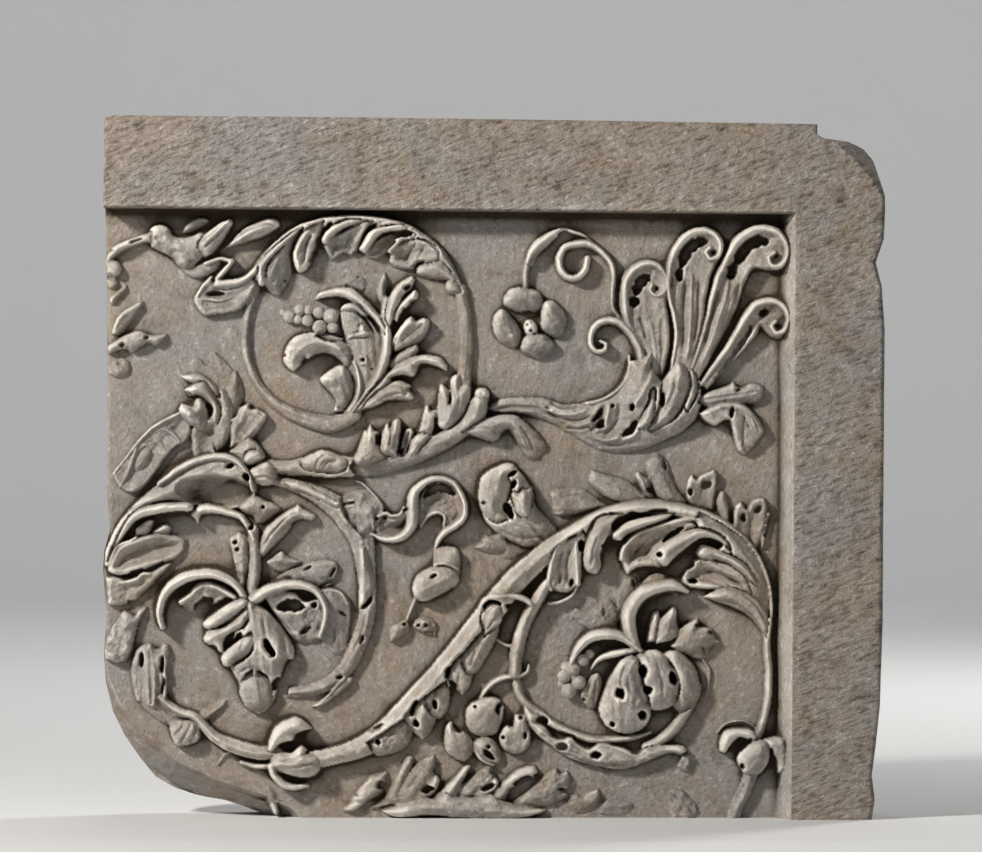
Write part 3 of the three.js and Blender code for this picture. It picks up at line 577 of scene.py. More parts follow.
def carve_upper_left_leaf(relief):
    """The leaf and the berries inside the upper left scroll."""
    relief.slab([318, 291, 326, 283, 347, 280, 352, 284, 328, 290], 5, lean=(0, 0))
    relief.slab([341, 280, 350, 275, 360, 275, 366, 283, 362, 292, 350, 287], 5)
    relief.slab([375, 290, 384, 271, 387, 279, 386, 292, 388, 300, 384, 312], 9, lean=(0, 0))
    relief.drills([(1.2, -1, 319, 288), (1.2, -1, 358, 276.5)])
    relief.slab([341, 310, 352, 306, 364, 313, 384, 340, 386, 362, 381, 384, 370, 402, 358, 413, 349, 408,
        353, 394, 352, 378, 346, 366, 348, 350, 340, 322], 15, lean=(-0.2, -0.05))
    relief.band([386, 300, 384, 322, 387, 342, 383, 364, 375, 382, 352, 414], (9, 11, 11, 12, 11, 11, 10),
        (18, 22, 24, 23, 20, 16))
    relief.band([352, 359, 357, 370, 359, 384, 357, 397, 349, 411], (6, 6, 7), (18, 20, 16))
    relief.slab([320, 382, 323, 374, 339, 365, 348, 369, 354, 390, 350, 402, 343, 409, 336, 407, 333, 397],
        19, lean=(-0.35, -0.45))
    relief.roughen([(331, 386, 9, 8, 0, 4)])
    relief.slab([291, 338, 316, 332, 343, 341, 351, 350, 352, 362, 347, 369, 336, 357, 326, 353, 315, 354,
        307, 359, 303, 357, 299, 366, 292, 372, 285, 366, 282, 356], 22)
    relief.grooves([(5, -4, 296, 354, 304, 346, 318, 341, 332, 343, 344, 352), (2, 3, 292, 350, 289, 360)])
    relief.drills([(3, 0, 303, 360, 301, 366), (7, 0, 314, 365, 326, 363, 335, 366), (1.4, 2, 283, 355),
        (1.4, 2, 285, 367), (1.5, 6, 362.5, 359.5), (1.2, 6, 371, 369)])
    relief.grooves([(3, -4, 358, 355, 366, 357, 366, 363, 359, 364)])
    relief.slab([314, 299, 320, 291, 343, 286, 356, 290, 377, 311, 385, 325, 386, 337, 371, 317, 348, 300,
        335, 296], 24, lean=(0, 0))
    relief.drills([(2.2, 2, 320, 300, 334, 299, 348, 303), (1.5, 3, 357, 312, 366, 321, 374, 334)])
    relief.slab([339, 310, 343, 304, 353, 302.5, 361, 306, 368, 315, 362, 316, 354, 311], 22)
    relief.slab([345, 341, 348, 334, 357, 331, 358, 325, 363, 323, 371, 334, 364, 338, 353, 338], 22)
    relief.slab([315, 336, 322, 332, 346, 338, 338, 341, 326, 341], 9, lean=(0, 0))
    relief.slab([384, 314, 393, 288, 410, 275, 415, 278, 411, 288, 403, 297, 389, 328], 24,
        lean=(-0.4, -0.1))
    relief.drills([(2.2, 8, 404, 289.5, 410, 283.5)])
    relief.slab([393, 318, 399, 303, 414, 288, 418, 292, 416, 300, 402, 312, 397, 322], 23, lean=(0, 0))
    relief.drills([(3.2, 1, 399, 325, 403, 314, 416, 299)])
    relief.slab([391, 340, 404, 321, 412, 315, 416, 320, 424, 317, 430, 322, 422, 340, 394, 352], 19,
        edge=5, dish=2, lean=(-0.35, -0.45))
    relief.grooves([(1.6, 4, 399, 331, 391, 350), (2, 3, 424, 322, 400, 342)])
    relief.slab([388, 366, 395, 354, 417, 343, 419, 350, 413, 358, 393, 372], 15, lean=(-0.2, -0.5))
    relief.slab([352, 414, 371, 388, 392, 367, 416, 355, 438, 356, 446, 364, 447, 371, 432, 365, 420, 364,
        414, 376, 402, 375, 392, 378, 388, 386, 364, 408], 25, lean=(0, -0.15))
    relief.drills([(4, 0, 422, 369, 442, 373)])
    relief.slab([360, 410, 370, 396, 394, 380, 412, 385, 408, 389, 413, 394, 411, 400, 390, 400, 372, 408],
        22)
    relief.drills([(2, 4, 391, 379.5, 402, 378)])
    relief.grooves([(2, 4, 382, 390, 394, 387, 404, 388), (2, 4, 384, 398, 396, 393, 408, 394), (2, -3,
        376, 404, 383, 402), (1.5, 3, 410, 361, 414, 366, 418, 366), (2, 2.5, 388, 372, 400, 365, 414, 360,
        428, 358)])
    relief.roughen([(403, 393, 10, 7, 0, 3), (421, 378, 7, 5, 0, 3)])


def carve_bird(relief):
    """A small bird that stands on the scroll's end and holds a twig in its beak."""
    relief.slab([181, 232, 184, 224, 192, 218, 203, 216, 210, 220, 190, 231], 10)
    relief.slab([178, 262, 190, 266, 205, 261, 220, 261, 214, 270, 204, 276, 192, 277, 182, 271], 10,
        lean=(0, 0))
    relief.slab([222, 248, 242, 228, 266, 217, 277, 219, 280, 225, 260, 237], 20, lean=(-0.05, -0.4))
    relief.grooves([(2, 4, 231, 242, 246, 230, 262, 224.5, 277, 225), (1.8, 3, 240, 241, 252, 234,
        266, 230), (1.8, 3, 238, 234, 250, 226, 262, 221)])
    relief.slab([165, 229, 175, 236, 188, 236, 200, 232, 208, 240, 205, 252, 188, 269, 178, 266, 169, 256,
        149, 246, 151, 237], 23, lean=(-0.1, -0.4))
    relief.roughen([(178, 255, 20, 13, 30, 5), (160, 242, 9, 6, 0, 3)])
    relief.slab([197, 242, 217, 223, 229, 217, 231, 225, 214, 250, 203, 257], 27, lean=(-0.3, -0.3))
    relief.grooves([(2, 4, 200, 243, 227, 219), (2, 4, 203, 248, 229, 222), (2, 4, 206, 253, 219, 243,
        229, 230)])
    relief.domes([(158.5, 234, 11.5, 10.5, 0, 25)])
    relief.hollows([(156, 238, 3, 2.6, 0, 3.5)])
    relief.slab([151, 230, 117, 242, 109, 248, 113, 254, 140, 242, 152, 244], 17, lean=(0, 0))
    relief.drills([(1.2, 5, 129, 241.5, 141, 237.5)])
    relief.band([117, 248, 109, 255, 104, 262], (8, 8), (13, 12))
    relief.domes([(111, 268, 9, 9, 0, 15), (109, 282, 7, 6, 0, 9)])
    relief.hollows([(108, 276, 5, 4, 0, 5)])


def carve_scroll_end(relief):
    """The open leaf that the bird stands on."""
    relief.slab([209, 276, 192, 296, 198, 311, 207, 315, 240, 308, 258, 282, 250, 277, 236, 284, 218, 288],
        14, edge=4, dish=4, lean=(0, 0))
    relief.drills([(3.5, 2, 206, 293, 224, 293.5)])
    relief.band([195, 299, 206, 298.5, 220, 300, 231, 297], (3, 4, 3), (15, 17, 13))
    relief.band([210, 277, 201, 287, 195, 298, 198, 307], (4, 5, 4), (14, 16, 14))
    relief.slab([257, 261, 243, 275, 222, 279, 216, 278, 212, 283, 214, 288, 230, 289, 250, 279, 258, 272],
        22, lean=(0, -0.35))
    relief.band([231, 260, 216, 279], (5, 6), (16, 17))
    relief.band([204, 263, 218, 258, 231, 260], (4, 5), (15, 17))


def carve_left_edge_leaves(relief):
    """Small leaves at the left edge, one of them broken."""
    relief.slab([107, 299, 112, 293, 124, 283, 124, 290, 110, 305], 7, lean=(-0.3, -0.3))
    relief.slab([109, 333, 116, 316, 134, 303, 141, 301, 139, 309, 124, 328, 115, 335], 11, edge=4, dish=1,
        lean=(-0.45, -0.4))
    relief.slab([106, 345, 132, 331, 142, 331, 150, 334, 167, 333, 155, 345, 146, 343, 130, 352, 124, 349,
        107, 354], 16, lean=(-0.1, -0.45))
    relief.drills([(2.6, 5, 120, 345), (2, 6, 145, 337)])
    relief.slab([105, 372, 110, 362, 118, 357, 126, 360, 129, 368, 124, 376, 114, 377], 8)
    relief.roughen([(114, 364, 9, 12, 0, 6), (110, 385, 6, 12, 0, 3), (112, 318, 5, 14, 10, 4)])


def carve_left_calyx(relief):
    """The tall leaves on the left stem, their low back leaf, and the ringed joint at their foot."""
    relief.slab([172, 373, 189, 360, 197, 358, 203, 364, 208, 366, 208, 354, 214, 351, 236, 378, 234, 418,
        222, 436, 206, 436, 198, 410, 188, 392], 6, lean=(0, 0))
    relief.slab([228, 382, 234, 369, 243, 391, 236, 415, 230, 420, 227, 402], 10, lean=(-0.55, 0))
    relief.slab([111, 474, 121, 461, 145, 432, 178, 413, 187, 420, 190, 432, 183, 443, 170, 451, 142, 488,
        128, 493, 118, 488], 9, edge=3, dish=4, lean=(0, 0))
    relief.band([112, 474, 147, 431, 180, 412], (3, 4, 4), (11, 13, 15))
    relief.band([118, 487, 126, 473, 137, 443, 147, 434], (3, 4, 3), (11, 12, 10))
    relief.band([150, 432, 161, 429, 170, 433, 178, 441], (4, 5, 4), (9, 11, 12))
    relief.band([141, 441, 150, 439.5, 158, 443, 163, 451], (4, 5, 4), (8, 10, 8))
    relief.slab([133, 458, 141, 448, 150, 449, 152, 458, 146, 468, 136, 472, 131, 468], 9)
    relief.slab([192, 426, 226, 414, 234, 416, 231, 432, 213, 456, 192, 462], 12, edge=4, dish=9,
        lean=(0.2, 0))
    relief.slab([212, 392, 220, 389, 229, 398, 233, 412, 231, 430, 224, 445, 215, 455, 212, 440, 215, 408],
        16)
    relief.slab([231, 420, 237, 416, 240, 409, 247, 404, 250, 409, 257, 408, 259, 412, 266, 415, 263, 424,
        250, 439, 228, 449], 15, edge=4, dish=3)
    relief.band([231, 420, 236, 417, 240, 409, 247, 405], (3, 3), (17, 16))
    relief.band([250, 410, 258, 411, 265, 415], (3, 3), (15, 13))
    relief.slab([179, 376, 198, 373, 216, 387, 220, 398, 212, 396, 204, 388, 186, 381], 21)
    relief.slab([183, 389, 198, 381, 207, 384, 220, 405, 220, 418, 215, 427, 209, 420, 209, 408, 203, 399,
        195, 395, 188, 396], 24)
    relief.slab([177, 410, 180, 403, 192, 406, 194, 400, 199, 397, 205, 402, 208, 412, 206, 424, 200, 432,
        184, 421], 24, lean=(-0.4, -0.3))
    relief.drills([(3.2, 0, 206, 403, 209, 410, 210, 417), (1.4, 8, 185, 391, 192, 396), (1.3, 8, 181, 379,
        187, 384)])
    relief.roughen([(196, 418, 12, 12, 0, 4), (222, 420, 10, 20, 0, 2)])
    relief.slab([227, 452, 243, 440, 250, 438, 262, 451, 262, 461, 244, 467, 238, 460], 22, lean=(0, 0))
    relief.slab([242, 460, 245, 452, 252, 449, 260, 452, 262, 459, 247, 465], 27)
    relief.slab([248, 470, 264, 461, 273, 465, 277, 473, 275, 482, 267, 486, 257, 485, 250, 479], 26)
    relief.grooves([(2, 3, 250, 474, 262, 471, 275, 473), (2, 3, 252, 479, 263, 477, 275, 479)])


def carve_middle_branch(relief):
    """The branch that runs right from the joint, its knot, and the ragged sheath at its end."""
    relief.band([268, 466, 290, 468, 312, 466, 350, 467], (13, 15, 20, 24, 20), (15, 17, 20, 22, 20),
        keeled)
    relief.slab([298, 460, 320, 450, 342, 456, 348, 462, 346, 470, 334, 474, 304, 470], 23, lean=(0, -0.3))
    relief.grooves([(2, 3, 314, 470, 318, 460, 326, 455), (2, 3, 322, 470, 328, 462, 338, 461), (2, -3,
        318, 466, 324, 458, 334, 458), (2.2, 4, 272, 474, 292, 474, 310, 476)])
    relief.roughen([(330, 466, 18, 8, 0, 3)])
    relief.slab([349, 467, 362, 452, 376, 448, 404, 452, 430, 436, 458, 422, 474, 396, 488, 398, 484, 420,
        456, 444, 418, 464, 378, 475, 362, 477, 354, 474], 19, lean=(0, -0.35))
    relief.slab([352, 459, 357, 449, 363, 430, 366, 431, 370, 424, 374, 430, 379, 433, 378, 443, 388, 456,
        374, 463, 358, 466], 25, lean=(-0.1, 0.1))
    relief.slab([379, 449, 384, 427, 388, 423, 390, 428, 393, 420, 398, 418, 401, 424, 396, 456, 386, 456],
        26, lean=(0, 0))
    relief.slab([398, 456, 404, 431, 412, 428, 413, 436, 404, 457], 14, edge=3, dish=4)
    relief.slab([406, 456, 414, 436, 430, 430, 432, 436, 416, 454], 22)
    relief.slab([418, 432, 424, 408, 428, 404, 430, 410, 436, 409, 438, 417, 432, 436], 22, lean=(0, 0))
    relief.slab([439, 388, 443, 384, 450, 391, 450, 380, 454, 374, 460, 374, 462, 385, 467, 383, 471, 388,
        468, 410, 450, 429, 437, 424], 25, lean=(-0.15, 0))
    relief.band([482, 399, 476, 413, 462, 427, 446, 438], (15, 17, 15, 10), (22, 22, 20, 17), ribbed)
    relief.domes([(482, 394, 8, 7, 0, 25)])
    relief.hollows([(482, 394, 2.5, 2.5, 0, 2)])
    relief.drills([(1.8, 3, 377, 434, 376, 444), (2.4, 2, 402, 448, 401, 455), (1.4, 3, 435, 417, 435, 430),
        (1.2, 8, 450, 392, 450, 404)])
    relief.grooves([(2, -3, 352, 467, 366, 466, 381, 462, 395, 456, 402, 458, 413, 455, 424, 448, 434, 438,
        446, 433, 458, 425, 468, 413), (2, 2.5, 447, 392, 448, 410, 444, 424), (2, 2.5, 459, 384, 459, 402,
        453, 418), (2, 3, 367, 434, 366, 450), (2, 3, 392, 428, 389, 446), (2, 3, 427, 412, 425, 428)])
    relief.roughen([(404, 442, 10, 14, 10, 5), (422, 440, 12, 10, 0, 3), (380, 458, 26, 8, -8, 2.5),
        (452, 405, 16, 28, 0, 1.6)])
    relief.slab([462, 432, 484, 418, 510, 414, 524, 420, 545, 441, 545, 452, 536, 461, 527, 458, 509, 429,
        503, 432, 498, 440, 488, 441], 19, lean=(-0.15, -0.45))
    relief.drills([(4, 0, 508, 432, 506, 442), (3, 0, 499, 446, 514, 448)])
    relief.grooves([(2, 3, 470, 430, 484, 428, 498, 434), (2, 3, 520, 425, 529, 438, 534, 452), (2, -2.5,
        512, 421, 520, 434, 527, 450)])


def carve_top_flower(relief):
    """The hanging flower at the top, its curled leaf and its tendril."""
    relief.band([526, 288, 525.5, 274, 528, 260], (6, 7), (10, 12), keeled)
    relief.drills([(7, -7, 541, 266, 548, 254, 560, 243, 572, 238)])
    relief.slab([525, 264, 528, 250, 536, 239, 559, 227, 583, 232, 594, 241, 571, 232, 561, 231.5, 535, 255,
        529, 264], 19, lean=(0, 0))
    relief.band([532, 264, 538, 252, 557, 234], (3, 5, 4), (10, 13, 14))
    relief.band([626, 322, 618, 314, 613, 303, 614, 272, 609, 258, 590, 243.5, 568, 245, 561, 252, 559, 262,
        562, 271, 570, 277, 579, 276, 586, 268, 588, 258], (4, 5, 6, 7, 8, 8, 8, 8, 7), (7, 9, 13, 16,
        17, 17, 17, 16))
    relief.drills([(4, -5, 571, 254, 578, 251), (2.5, -2, 592, 251, 603, 259)])
    petals = [([503, 303, 505, 294, 514, 287, 535, 289, 543, 298, 541, 308, 528, 313, 512, 310], 20,
        (-0.25, -0.6)), ([492, 324, 495, 313, 504, 309, 520, 328, 521, 340, 515, 348, 506, 346, 496, 337],
        19, (-0.4, -0.35)), ([543, 304, 552, 300, 561, 306, 567, 317, 566, 329, 558, 337, 548, 334,
        541, 326], 19, (-0.45, -0.3)), ([521, 348, 524, 337, 534, 332, 546, 334, 555, 343, 551, 352,
        539, 357.5, 527, 355], 18, (-0.25, -0.35))]
    for outline, rise, lean in petals:
        relief.slab(outline, rise, lean=lean)
    relief.grooves([(3, 1.5, 500, 325, 506, 334, 514, 332, 509, 322), (3, 1.5, 548, 312, 554, 320, 561, 318,
        556, 309), (3, 1.5, 530, 346, 540, 344, 549, 347)])
    relief.drills([(5, -5, 520, 316, 530, 314, 538, 318)])
    relief.domes([(531, 327.5, 7, 9.5, -20, 20)])
    relief.drills([(1.0, 10, 527, 324), (1.0, 10, 531, 330), (1.0, 9, 535, 333), (1.0, 12, 532, 322)])


def carve_upper_right_fronds(relief):
    """Four long fronds that end in volutes, and the low one in front of them."""
    relief.slab([668, 384, 674, 350, 675, 320, 669, 292, 667, 268, 674, 247, 700, 226, 713, 228, 723, 238,
        725, 250, 712, 278, 704, 325, 697, 350, 690, 374], 15, edge=4, dish=4, lean=(0, 0))
    relief.slab([690, 374, 700, 345, 716, 280, 725, 255, 738, 236, 752, 226, 768, 223, 782, 230, 792, 243,
        792, 258, 785, 268, 770, 270, 755, 268, 747, 282, 733, 318, 699, 382], 16, edge=4, dish=4,
        lean=(0, 0))
    relief.slab([700, 384, 738, 330, 750, 308, 764, 299, 780, 299, 792, 309, 792, 325, 783, 338, 772, 336,
        762, 326, 752, 342, 708, 390], 14, edge=4, dish=3, lean=(0, 0))
    relief.slab([620, 302, 625, 272, 646, 258, 668, 268, 673, 281, 671, 293, 668, 300, 671, 340, 663, 382,
        661, 400, 648, 402, 651, 378, 648, 356, 627, 324], 14, edge=4, dish=3, lean=(0, 0))
    relief.drills([(7, -6, 636, 294, 641, 282, 650, 275), (6, -4, 634, 306, 634, 296), (7, -5, 682, 266,
        687, 252, 697, 242, 708, 240), (5, 0, 680, 280, 680, 268), (8, -5, 736, 264, 744, 250, 757, 241,
        770, 241), (6, 0, 730, 278, 736, 262), (5, 2, 760, 314, 769, 311), (3, 4, 753, 325, 744, 342,
        714, 383), (2.6, 3, 643, 344, 645, 362, 642, 378, 631, 404)])
    relief.grooves([(4, -5, 693, 268, 690, 335, 686, 365), (3, 4, 686, 275, 683, 350), (3, 5, 700, 275,
        699, 310, 695, 345), (4, -5, 731, 276, 723, 308, 713, 338, 701, 366), (3.5, 5, 720, 286, 704, 345),
        (3.5, 5, 742, 280, 735, 306, 724, 332, 708, 362), (4, -3, 650, 318, 655, 345, 655, 380), (3, 4,
        640, 315, 648, 340), (3, 3, 662, 315, 662, 350, 660, 385)])
    relief.band([649, 360, 646, 348, 629, 321, 625, 290, 630, 275, 640, 265, 652, 263, 662, 269, 667, 280,
        665, 291, 657, 295, 651, 290, 653, 284], (4, 6, 8, 9, 9, 9, 8, 7, 6, 4), (12, 15, 18, 19, 20, 20,
        19, 17))
    relief.band([668, 380, 673, 363, 677, 330, 670, 294, 669, 277, 672, 260, 679, 245, 690, 234, 703, 230,
        715, 234, 721, 244, 719, 255, 711, 259, 706, 252, 711, 247], (3, 4, 5, 5, 5, 7, 9, 10, 9, 8, 6, 5),
        (17, 18, 19, 20, 22, 24, 24, 22))
    relief.band([691, 374, 706, 328, 717, 283, 735, 246, 748, 233, 762, 228, 776, 231, 786, 241, 788, 254,
        782, 265, 773, 265, 769, 257, 775, 252], (3, 4, 5, 6, 7, 9, 11, 11, 10, 8, 6, 5), (18, 19, 20, 22,
        24, 27, 28, 27))
    relief.band([702, 384, 730, 346, 751, 311, 763, 302, 776, 301, 786, 308, 789, 319, 785, 330, 777, 333,
        772, 326, 777, 321], (5, 8, 8, 8, 9, 9, 8, 7, 6, 4), (17, 18, 20, 22, 26, 27, 25))
    relief.drills([(2.2, 4, 656.5, 288), (2.2, 6, 714, 252), (2.4, 8, 777, 256), (2.2, 8, 778, 326)])
    relief.band([640, 398, 643, 380, 643, 362, 639, 346, 631, 332, 621, 323, 610, 320, 599, 323, 592, 332,
        591, 343, 597, 351, 605, 350, 607, 343, 601, 341], (14, 13, 12, 10, 9, 9, 8, 8, 6, 5, 4), (22, 20,
        18, 18, 18, 17, 16, 14))
    relief.drills([(3, -4, 602, 331, 612, 330, 620, 335), (2, 0, 599, 344)])
    relief.grooves([(2.5, 3, 634, 344, 637, 360, 634, 378, 626, 392)])


def carve_frond_sheath(relief):
    """The great sheath that the fronds grow from, and its leaves."""
    relief.slab([486, 410, 494, 402, 507, 397.5, 542, 397, 570, 404.5, 611, 395, 628, 374, 631, 360,
        641, 360, 652, 352, 652, 368, 662, 380, 680, 370, 698, 372, 702, 396, 700, 412, 690, 426, 672, 438,
        636, 451, 600, 450, 556, 425, 520, 413, 500, 413], 22, lean=(0.06, -0.3))
    relief.band([630, 356, 629, 370, 623, 384, 613, 394, 600, 400.5, 586, 404], (3, 3, 4), (17, 21, 20))
    relief.grooves([(4, 5, 494, 409, 512, 406.5, 530, 407, 546, 412, 562, 420), (2.4, 5, 550, 402,
        560, 406.5, 572, 408, 584, 406), (3, -4, 548, 408, 560, 413.5, 574, 414, 590, 409), (3, -4,
        552, 406, 562, 410.5, 576, 411), (2.5, 5, 546, 410, 560, 418, 578, 420, 592, 416), (2.5, 5,
        566, 427, 578, 429, 592, 425), (2.5, -3, 566, 424, 580, 425.5, 593, 421), (5, 6, 606, 404, 601, 420,
        590, 432), (4, -4, 610, 402, 606, 420, 594, 434), (5, 5, 620, 402, 617, 422, 604, 436), (2.4, -4,
        601, 441, 612, 440, 621, 437), (2.4, -4, 622, 441, 632, 437, 640, 428), (3, 5, 648, 404, 643, 420),
        (3, -5, 652, 354, 653, 368, 648, 384, 632, 410), (3, 3, 584, 438, 604, 444, 628, 445)])
    relief.drills([(2.6, 2, 593, 421, 599, 415, 603, 408), (1.4, 10, 586, 405), (1.5, 8, 613, 406),
        (1.3, 10, 546, 407, 551, 409), (3.6, -2, 623, 436, 631, 430, 637, 420), (2, 4, 632, 410, 633, 404),
        (5, 1, 604, 420, 598, 428)])
    relief.slab([650, 392, 654, 386, 657, 392, 654, 416, 649, 425, 641, 429, 637, 425, 648, 402], 29,
        lean=(0, 0))
    relief.slab([690, 368, 696, 371, 700, 384, 697, 398, 689, 413, 684, 406, 689, 390], 23, lean=(-0.8, 0))
    relief.slab([663, 380, 678, 361, 686, 366, 691, 376, 691, 390, 680, 415, 655, 431, 648, 430, 658, 408],
        30)
    relief.grooves([(3, 3, 676, 370, 674, 390, 664, 412), (3, 3, 685, 376, 682, 395, 672, 415), (2.5, 3,
        668, 378, 666, 396)])
    relief.drills([(1.8, 4, 663, 393, 662, 406)])
    relief.roughen([(652, 408, 8, 20, 15, 3), (674, 395, 18, 32, 10, 2.4), (600, 428, 50, 22, 0, 1.4)])
    relief.slab([698, 402, 705, 393, 727, 386, 734, 381, 741, 387, 752, 383, 764, 386, 765, 396, 757, 403,
        730, 406, 712, 411], 15, lean=(-0.1, -0.35))
    relief.slab([699, 413, 725, 402, 748, 406, 764, 426, 763, 436, 748, 454, 740, 452, 736, 444, 731, 422,
        724, 421, 716, 426, 706, 421], 18, edge=4, dish=2)
    relief.grooves([(2.5, 3, 702, 400, 760, 391), (2.5, 3, 720, 408, 742, 413, 752, 430), (2, 3, 746, 414,
        744, 432, 745, 448), (2, -2.5, 738, 406, 752, 418, 758, 434)])
    relief.drills([(1.7, 4, 733, 407, 732, 417), (1.4, 4, 737, 391, 742, 388), (2.4, 2, 757, 404,
        763, 400)])
    relief.roughen([(744, 448, 10, 8, 0, 4), (756, 395, 8, 8, 0, 4)])


def carve_second_stem(relief):
    """The worn stem that turns down from the branch, its broken sheath, and its split foot."""
    relief.drills([(4, -6, 280, 479, 295, 478, 310, 481)])
    relief.band([274, 481, 298, 487, 320, 497, 340, 511, 354, 528, 363, 550, 367, 606, 361, 636, 349, 663,
        332, 682, 310, 691, 284, 694], (9, 14, 21, 26, 24, 19, 17, 17, 17, 15, 13, 11), (12, 15, 16, 15,
        14, 15, 15, 15, 14, 13, 12, 9), keeled)
    relief.slab([282, 482, 295, 480, 310, 486, 341, 503, 337, 510, 302, 493, 291, 490], 20, lean=(0, 0))
    relief.slab([340, 500, 350, 492, 362, 489, 373, 493, 381, 503, 383, 514, 376, 525, 372, 540, 362, 537,
        345, 518], 12, lean=(0, 0))
    relief.roughen([(362, 512, 22, 24, 30, 6), (330, 512, 22, 16, 30, 4), (362, 545, 9, 18, 0, 4)])
    relief.band([355, 481, 365, 486, 380, 503, 382, 513], (2, 3, 2), (9, 15, 13))
    relief.slab([357, 547, 365, 546, 374, 585, 365, 607, 358, 609], 21, lean=(-0.3, 0))
    relief.drills([(2, 0, 361, 609, 367, 604, 371, 597), (1.8, 4, 363, 636, 360, 645), (1.8, 1, 336, 679,
        342, 678), (1.6, 4, 341, 505, 355, 502), (1.2, 8, 336, 672)])
    relief.slab([345, 679, 326, 699, 312, 708, 322, 707, 346, 690, 354, 678], 11, lean=(-0.3, -0.3))
    relief.band([344, 679, 325, 699, 312, 708], (4, 3, 2), (15, 13, 8))
    relief.grooves([(2, 4, 284, 697, 306, 696, 326, 690, 338, 683), (2, 3, 366, 612, 361, 634, 352, 655)])


def carve_lower_left_scroll(relief):
    """The scroll at the left edge: its hooded top, the torn lobes inside it, and a broken leaf."""
    relief.slab([103, 566, 105, 548, 119, 520, 146, 493, 180, 468, 212, 455, 238, 460, 254, 481, 254, 496,
        244, 507, 222, 509, 172, 504, 134, 516, 114, 546, 108, 566], 31)
    relief.hollows([(214, 491, 40, 17, 3, 27), (238, 490, 17, 17, 0, 8)])
    relief.grooves([(2, 2, 184, 493, 215, 488, 246, 492), (2, 2, 188, 499, 215, 496, 244, 499), (2, 5,
        118, 519, 130, 510, 145, 504, 172, 500), (3, 2, 133, 502, 190, 470)])
    relief.band([158, 484, 176, 471, 196, 461, 214, 457, 228, 458, 239, 464, 248, 476, 252, 490], (5, 9,
        9, 8, 6, 4), (33, 35, 35, 33, 30, 24))
    relief.drills([(2, 6, 226, 467, 232, 465), (3.6, -4, 243, 474, 247, 480), (7, -9, 124, 535, 138, 524,
        158, 519, 184, 524), (5, -9, 170, 526, 186, 522)])
    relief.slab([105, 562, 127, 517, 155, 503, 186, 502, 193, 507, 189, 512, 171, 512, 138, 520, 120, 541,
        113, 557], 29, lean=(0, -0.3))
    relief.slab([134, 537, 134, 529, 145, 520, 153, 520, 147, 534], 17)
    relief.slab([150, 532, 163, 524, 170, 527, 168, 533, 159, 536], 15)
    relief.slab([106, 572, 109, 556, 119, 545, 150, 534, 170, 534, 186, 540, 182, 552, 170, 561, 122, 576],
        17, edge=5, dish=12, lean=(-0.25, 0))
    relief.band([108, 566, 112, 554, 120, 545, 128, 542, 135, 538], (5, 5, 4), (20, 22, 19))
    relief.grooves([(3, 3, 116, 562, 140, 550, 172, 545), (3, 3, 118, 570, 142, 562, 168, 556), (2.4, 5,
        119, 545, 107, 569)])
    relief.slab([104, 578, 116, 577, 128, 580, 140, 573, 150, 572, 162, 565, 172, 563, 138, 598, 122, 606,
        106, 606], 13, edge=5, dish=3)
    relief.drills([(4.6, -5, 126, 577, 143, 571), (1.6, 0, 146, 570, 162, 563), (6, -6, 126, 606, 138, 604),
        (5, -5, 142, 618, 138, 634, 136, 650)])
    relief.band([117, 584, 134, 581, 141, 575, 149, 575], (5, 5, 4), (16, 18, 15))
    relief.slab([103, 660, 103, 642, 116, 619, 123, 612, 133, 617, 137, 611, 146, 607, 136, 626, 129, 655,
        118, 664], 17, lean=(-0.15, -0.05))
    relief.roughen([(116, 640, 18, 26, 0, 7), (115, 590, 14, 14, 0, 4), (110, 530, 8, 40, 10, 3)])
    relief.band([193, 524, 196, 513, 207, 509, 236, 515, 246, 525, 253, 540], (9, 11, 8, 7, 6), (17, 20,
        21, 20, 17))
    relief.drills([(2.6, -5, 203, 525, 216, 525), (3, -5, 215, 519, 228, 521, 238, 530), (6, -6, 188, 517,
        194, 532)])
    relief.band([252, 530, 253, 560, 251, 600], (11, 14, 13), (15, 16, 17))
    relief.slab([228, 541, 238, 532, 247, 540, 248, 560, 246, 584, 239, 598, 232, 590, 235, 572], 15,
        lean=(0, 0))
    relief.drills([(1.8, 1, 234, 543), (1.8, 1, 236, 550), (1.8, 1, 229, 556), (2, 1, 234, 573)])
    relief.roughen([(239, 565, 10, 34, 0, 6)])


def carve_scroll_leaves(relief):
    """Small pointed leaves that lie in the left scroll."""
    relief.slab([237, 508, 252, 496, 270, 502, 281, 509, 264, 522, 256, 524, 252, 517, 244, 514], 13,
        lean=(-0.2, -0.4))
    relief.drills([(1.3, 2, 262, 507), (2.5, 0, 248, 530, 252, 524)])
    relief.slab([258, 550, 266, 527, 298, 504, 302, 508, 316, 515, 312, 521, 300, 520, 291, 524, 287, 532,
        262, 558], 19, lean=(-0.25, -0.35))
    relief.grooves([(2, 4, 262, 548, 272, 532, 288, 517, 300, 512), (1.6, 2.5, 276, 536, 286, 526)])
    relief.slab([264, 563, 280, 552, 287, 557, 301, 562, 284, 572, 272, 571], 11, lean=(-0.1, -0.4))
    relief.slab([274, 579, 285, 572, 314, 562, 330, 561, 337, 568, 326, 588, 282, 585], 10, lean=(0, -0.3))
    relief.drills([(1.4, 0, 329, 577, 334, 568), (1.6, 0, 318, 588, 334, 580), (1.4, 1, 303, 571,
        311, 567)])
    relief.slab([266, 590, 274, 581, 286, 577, 291, 579, 279, 585, 272, 591], 7)


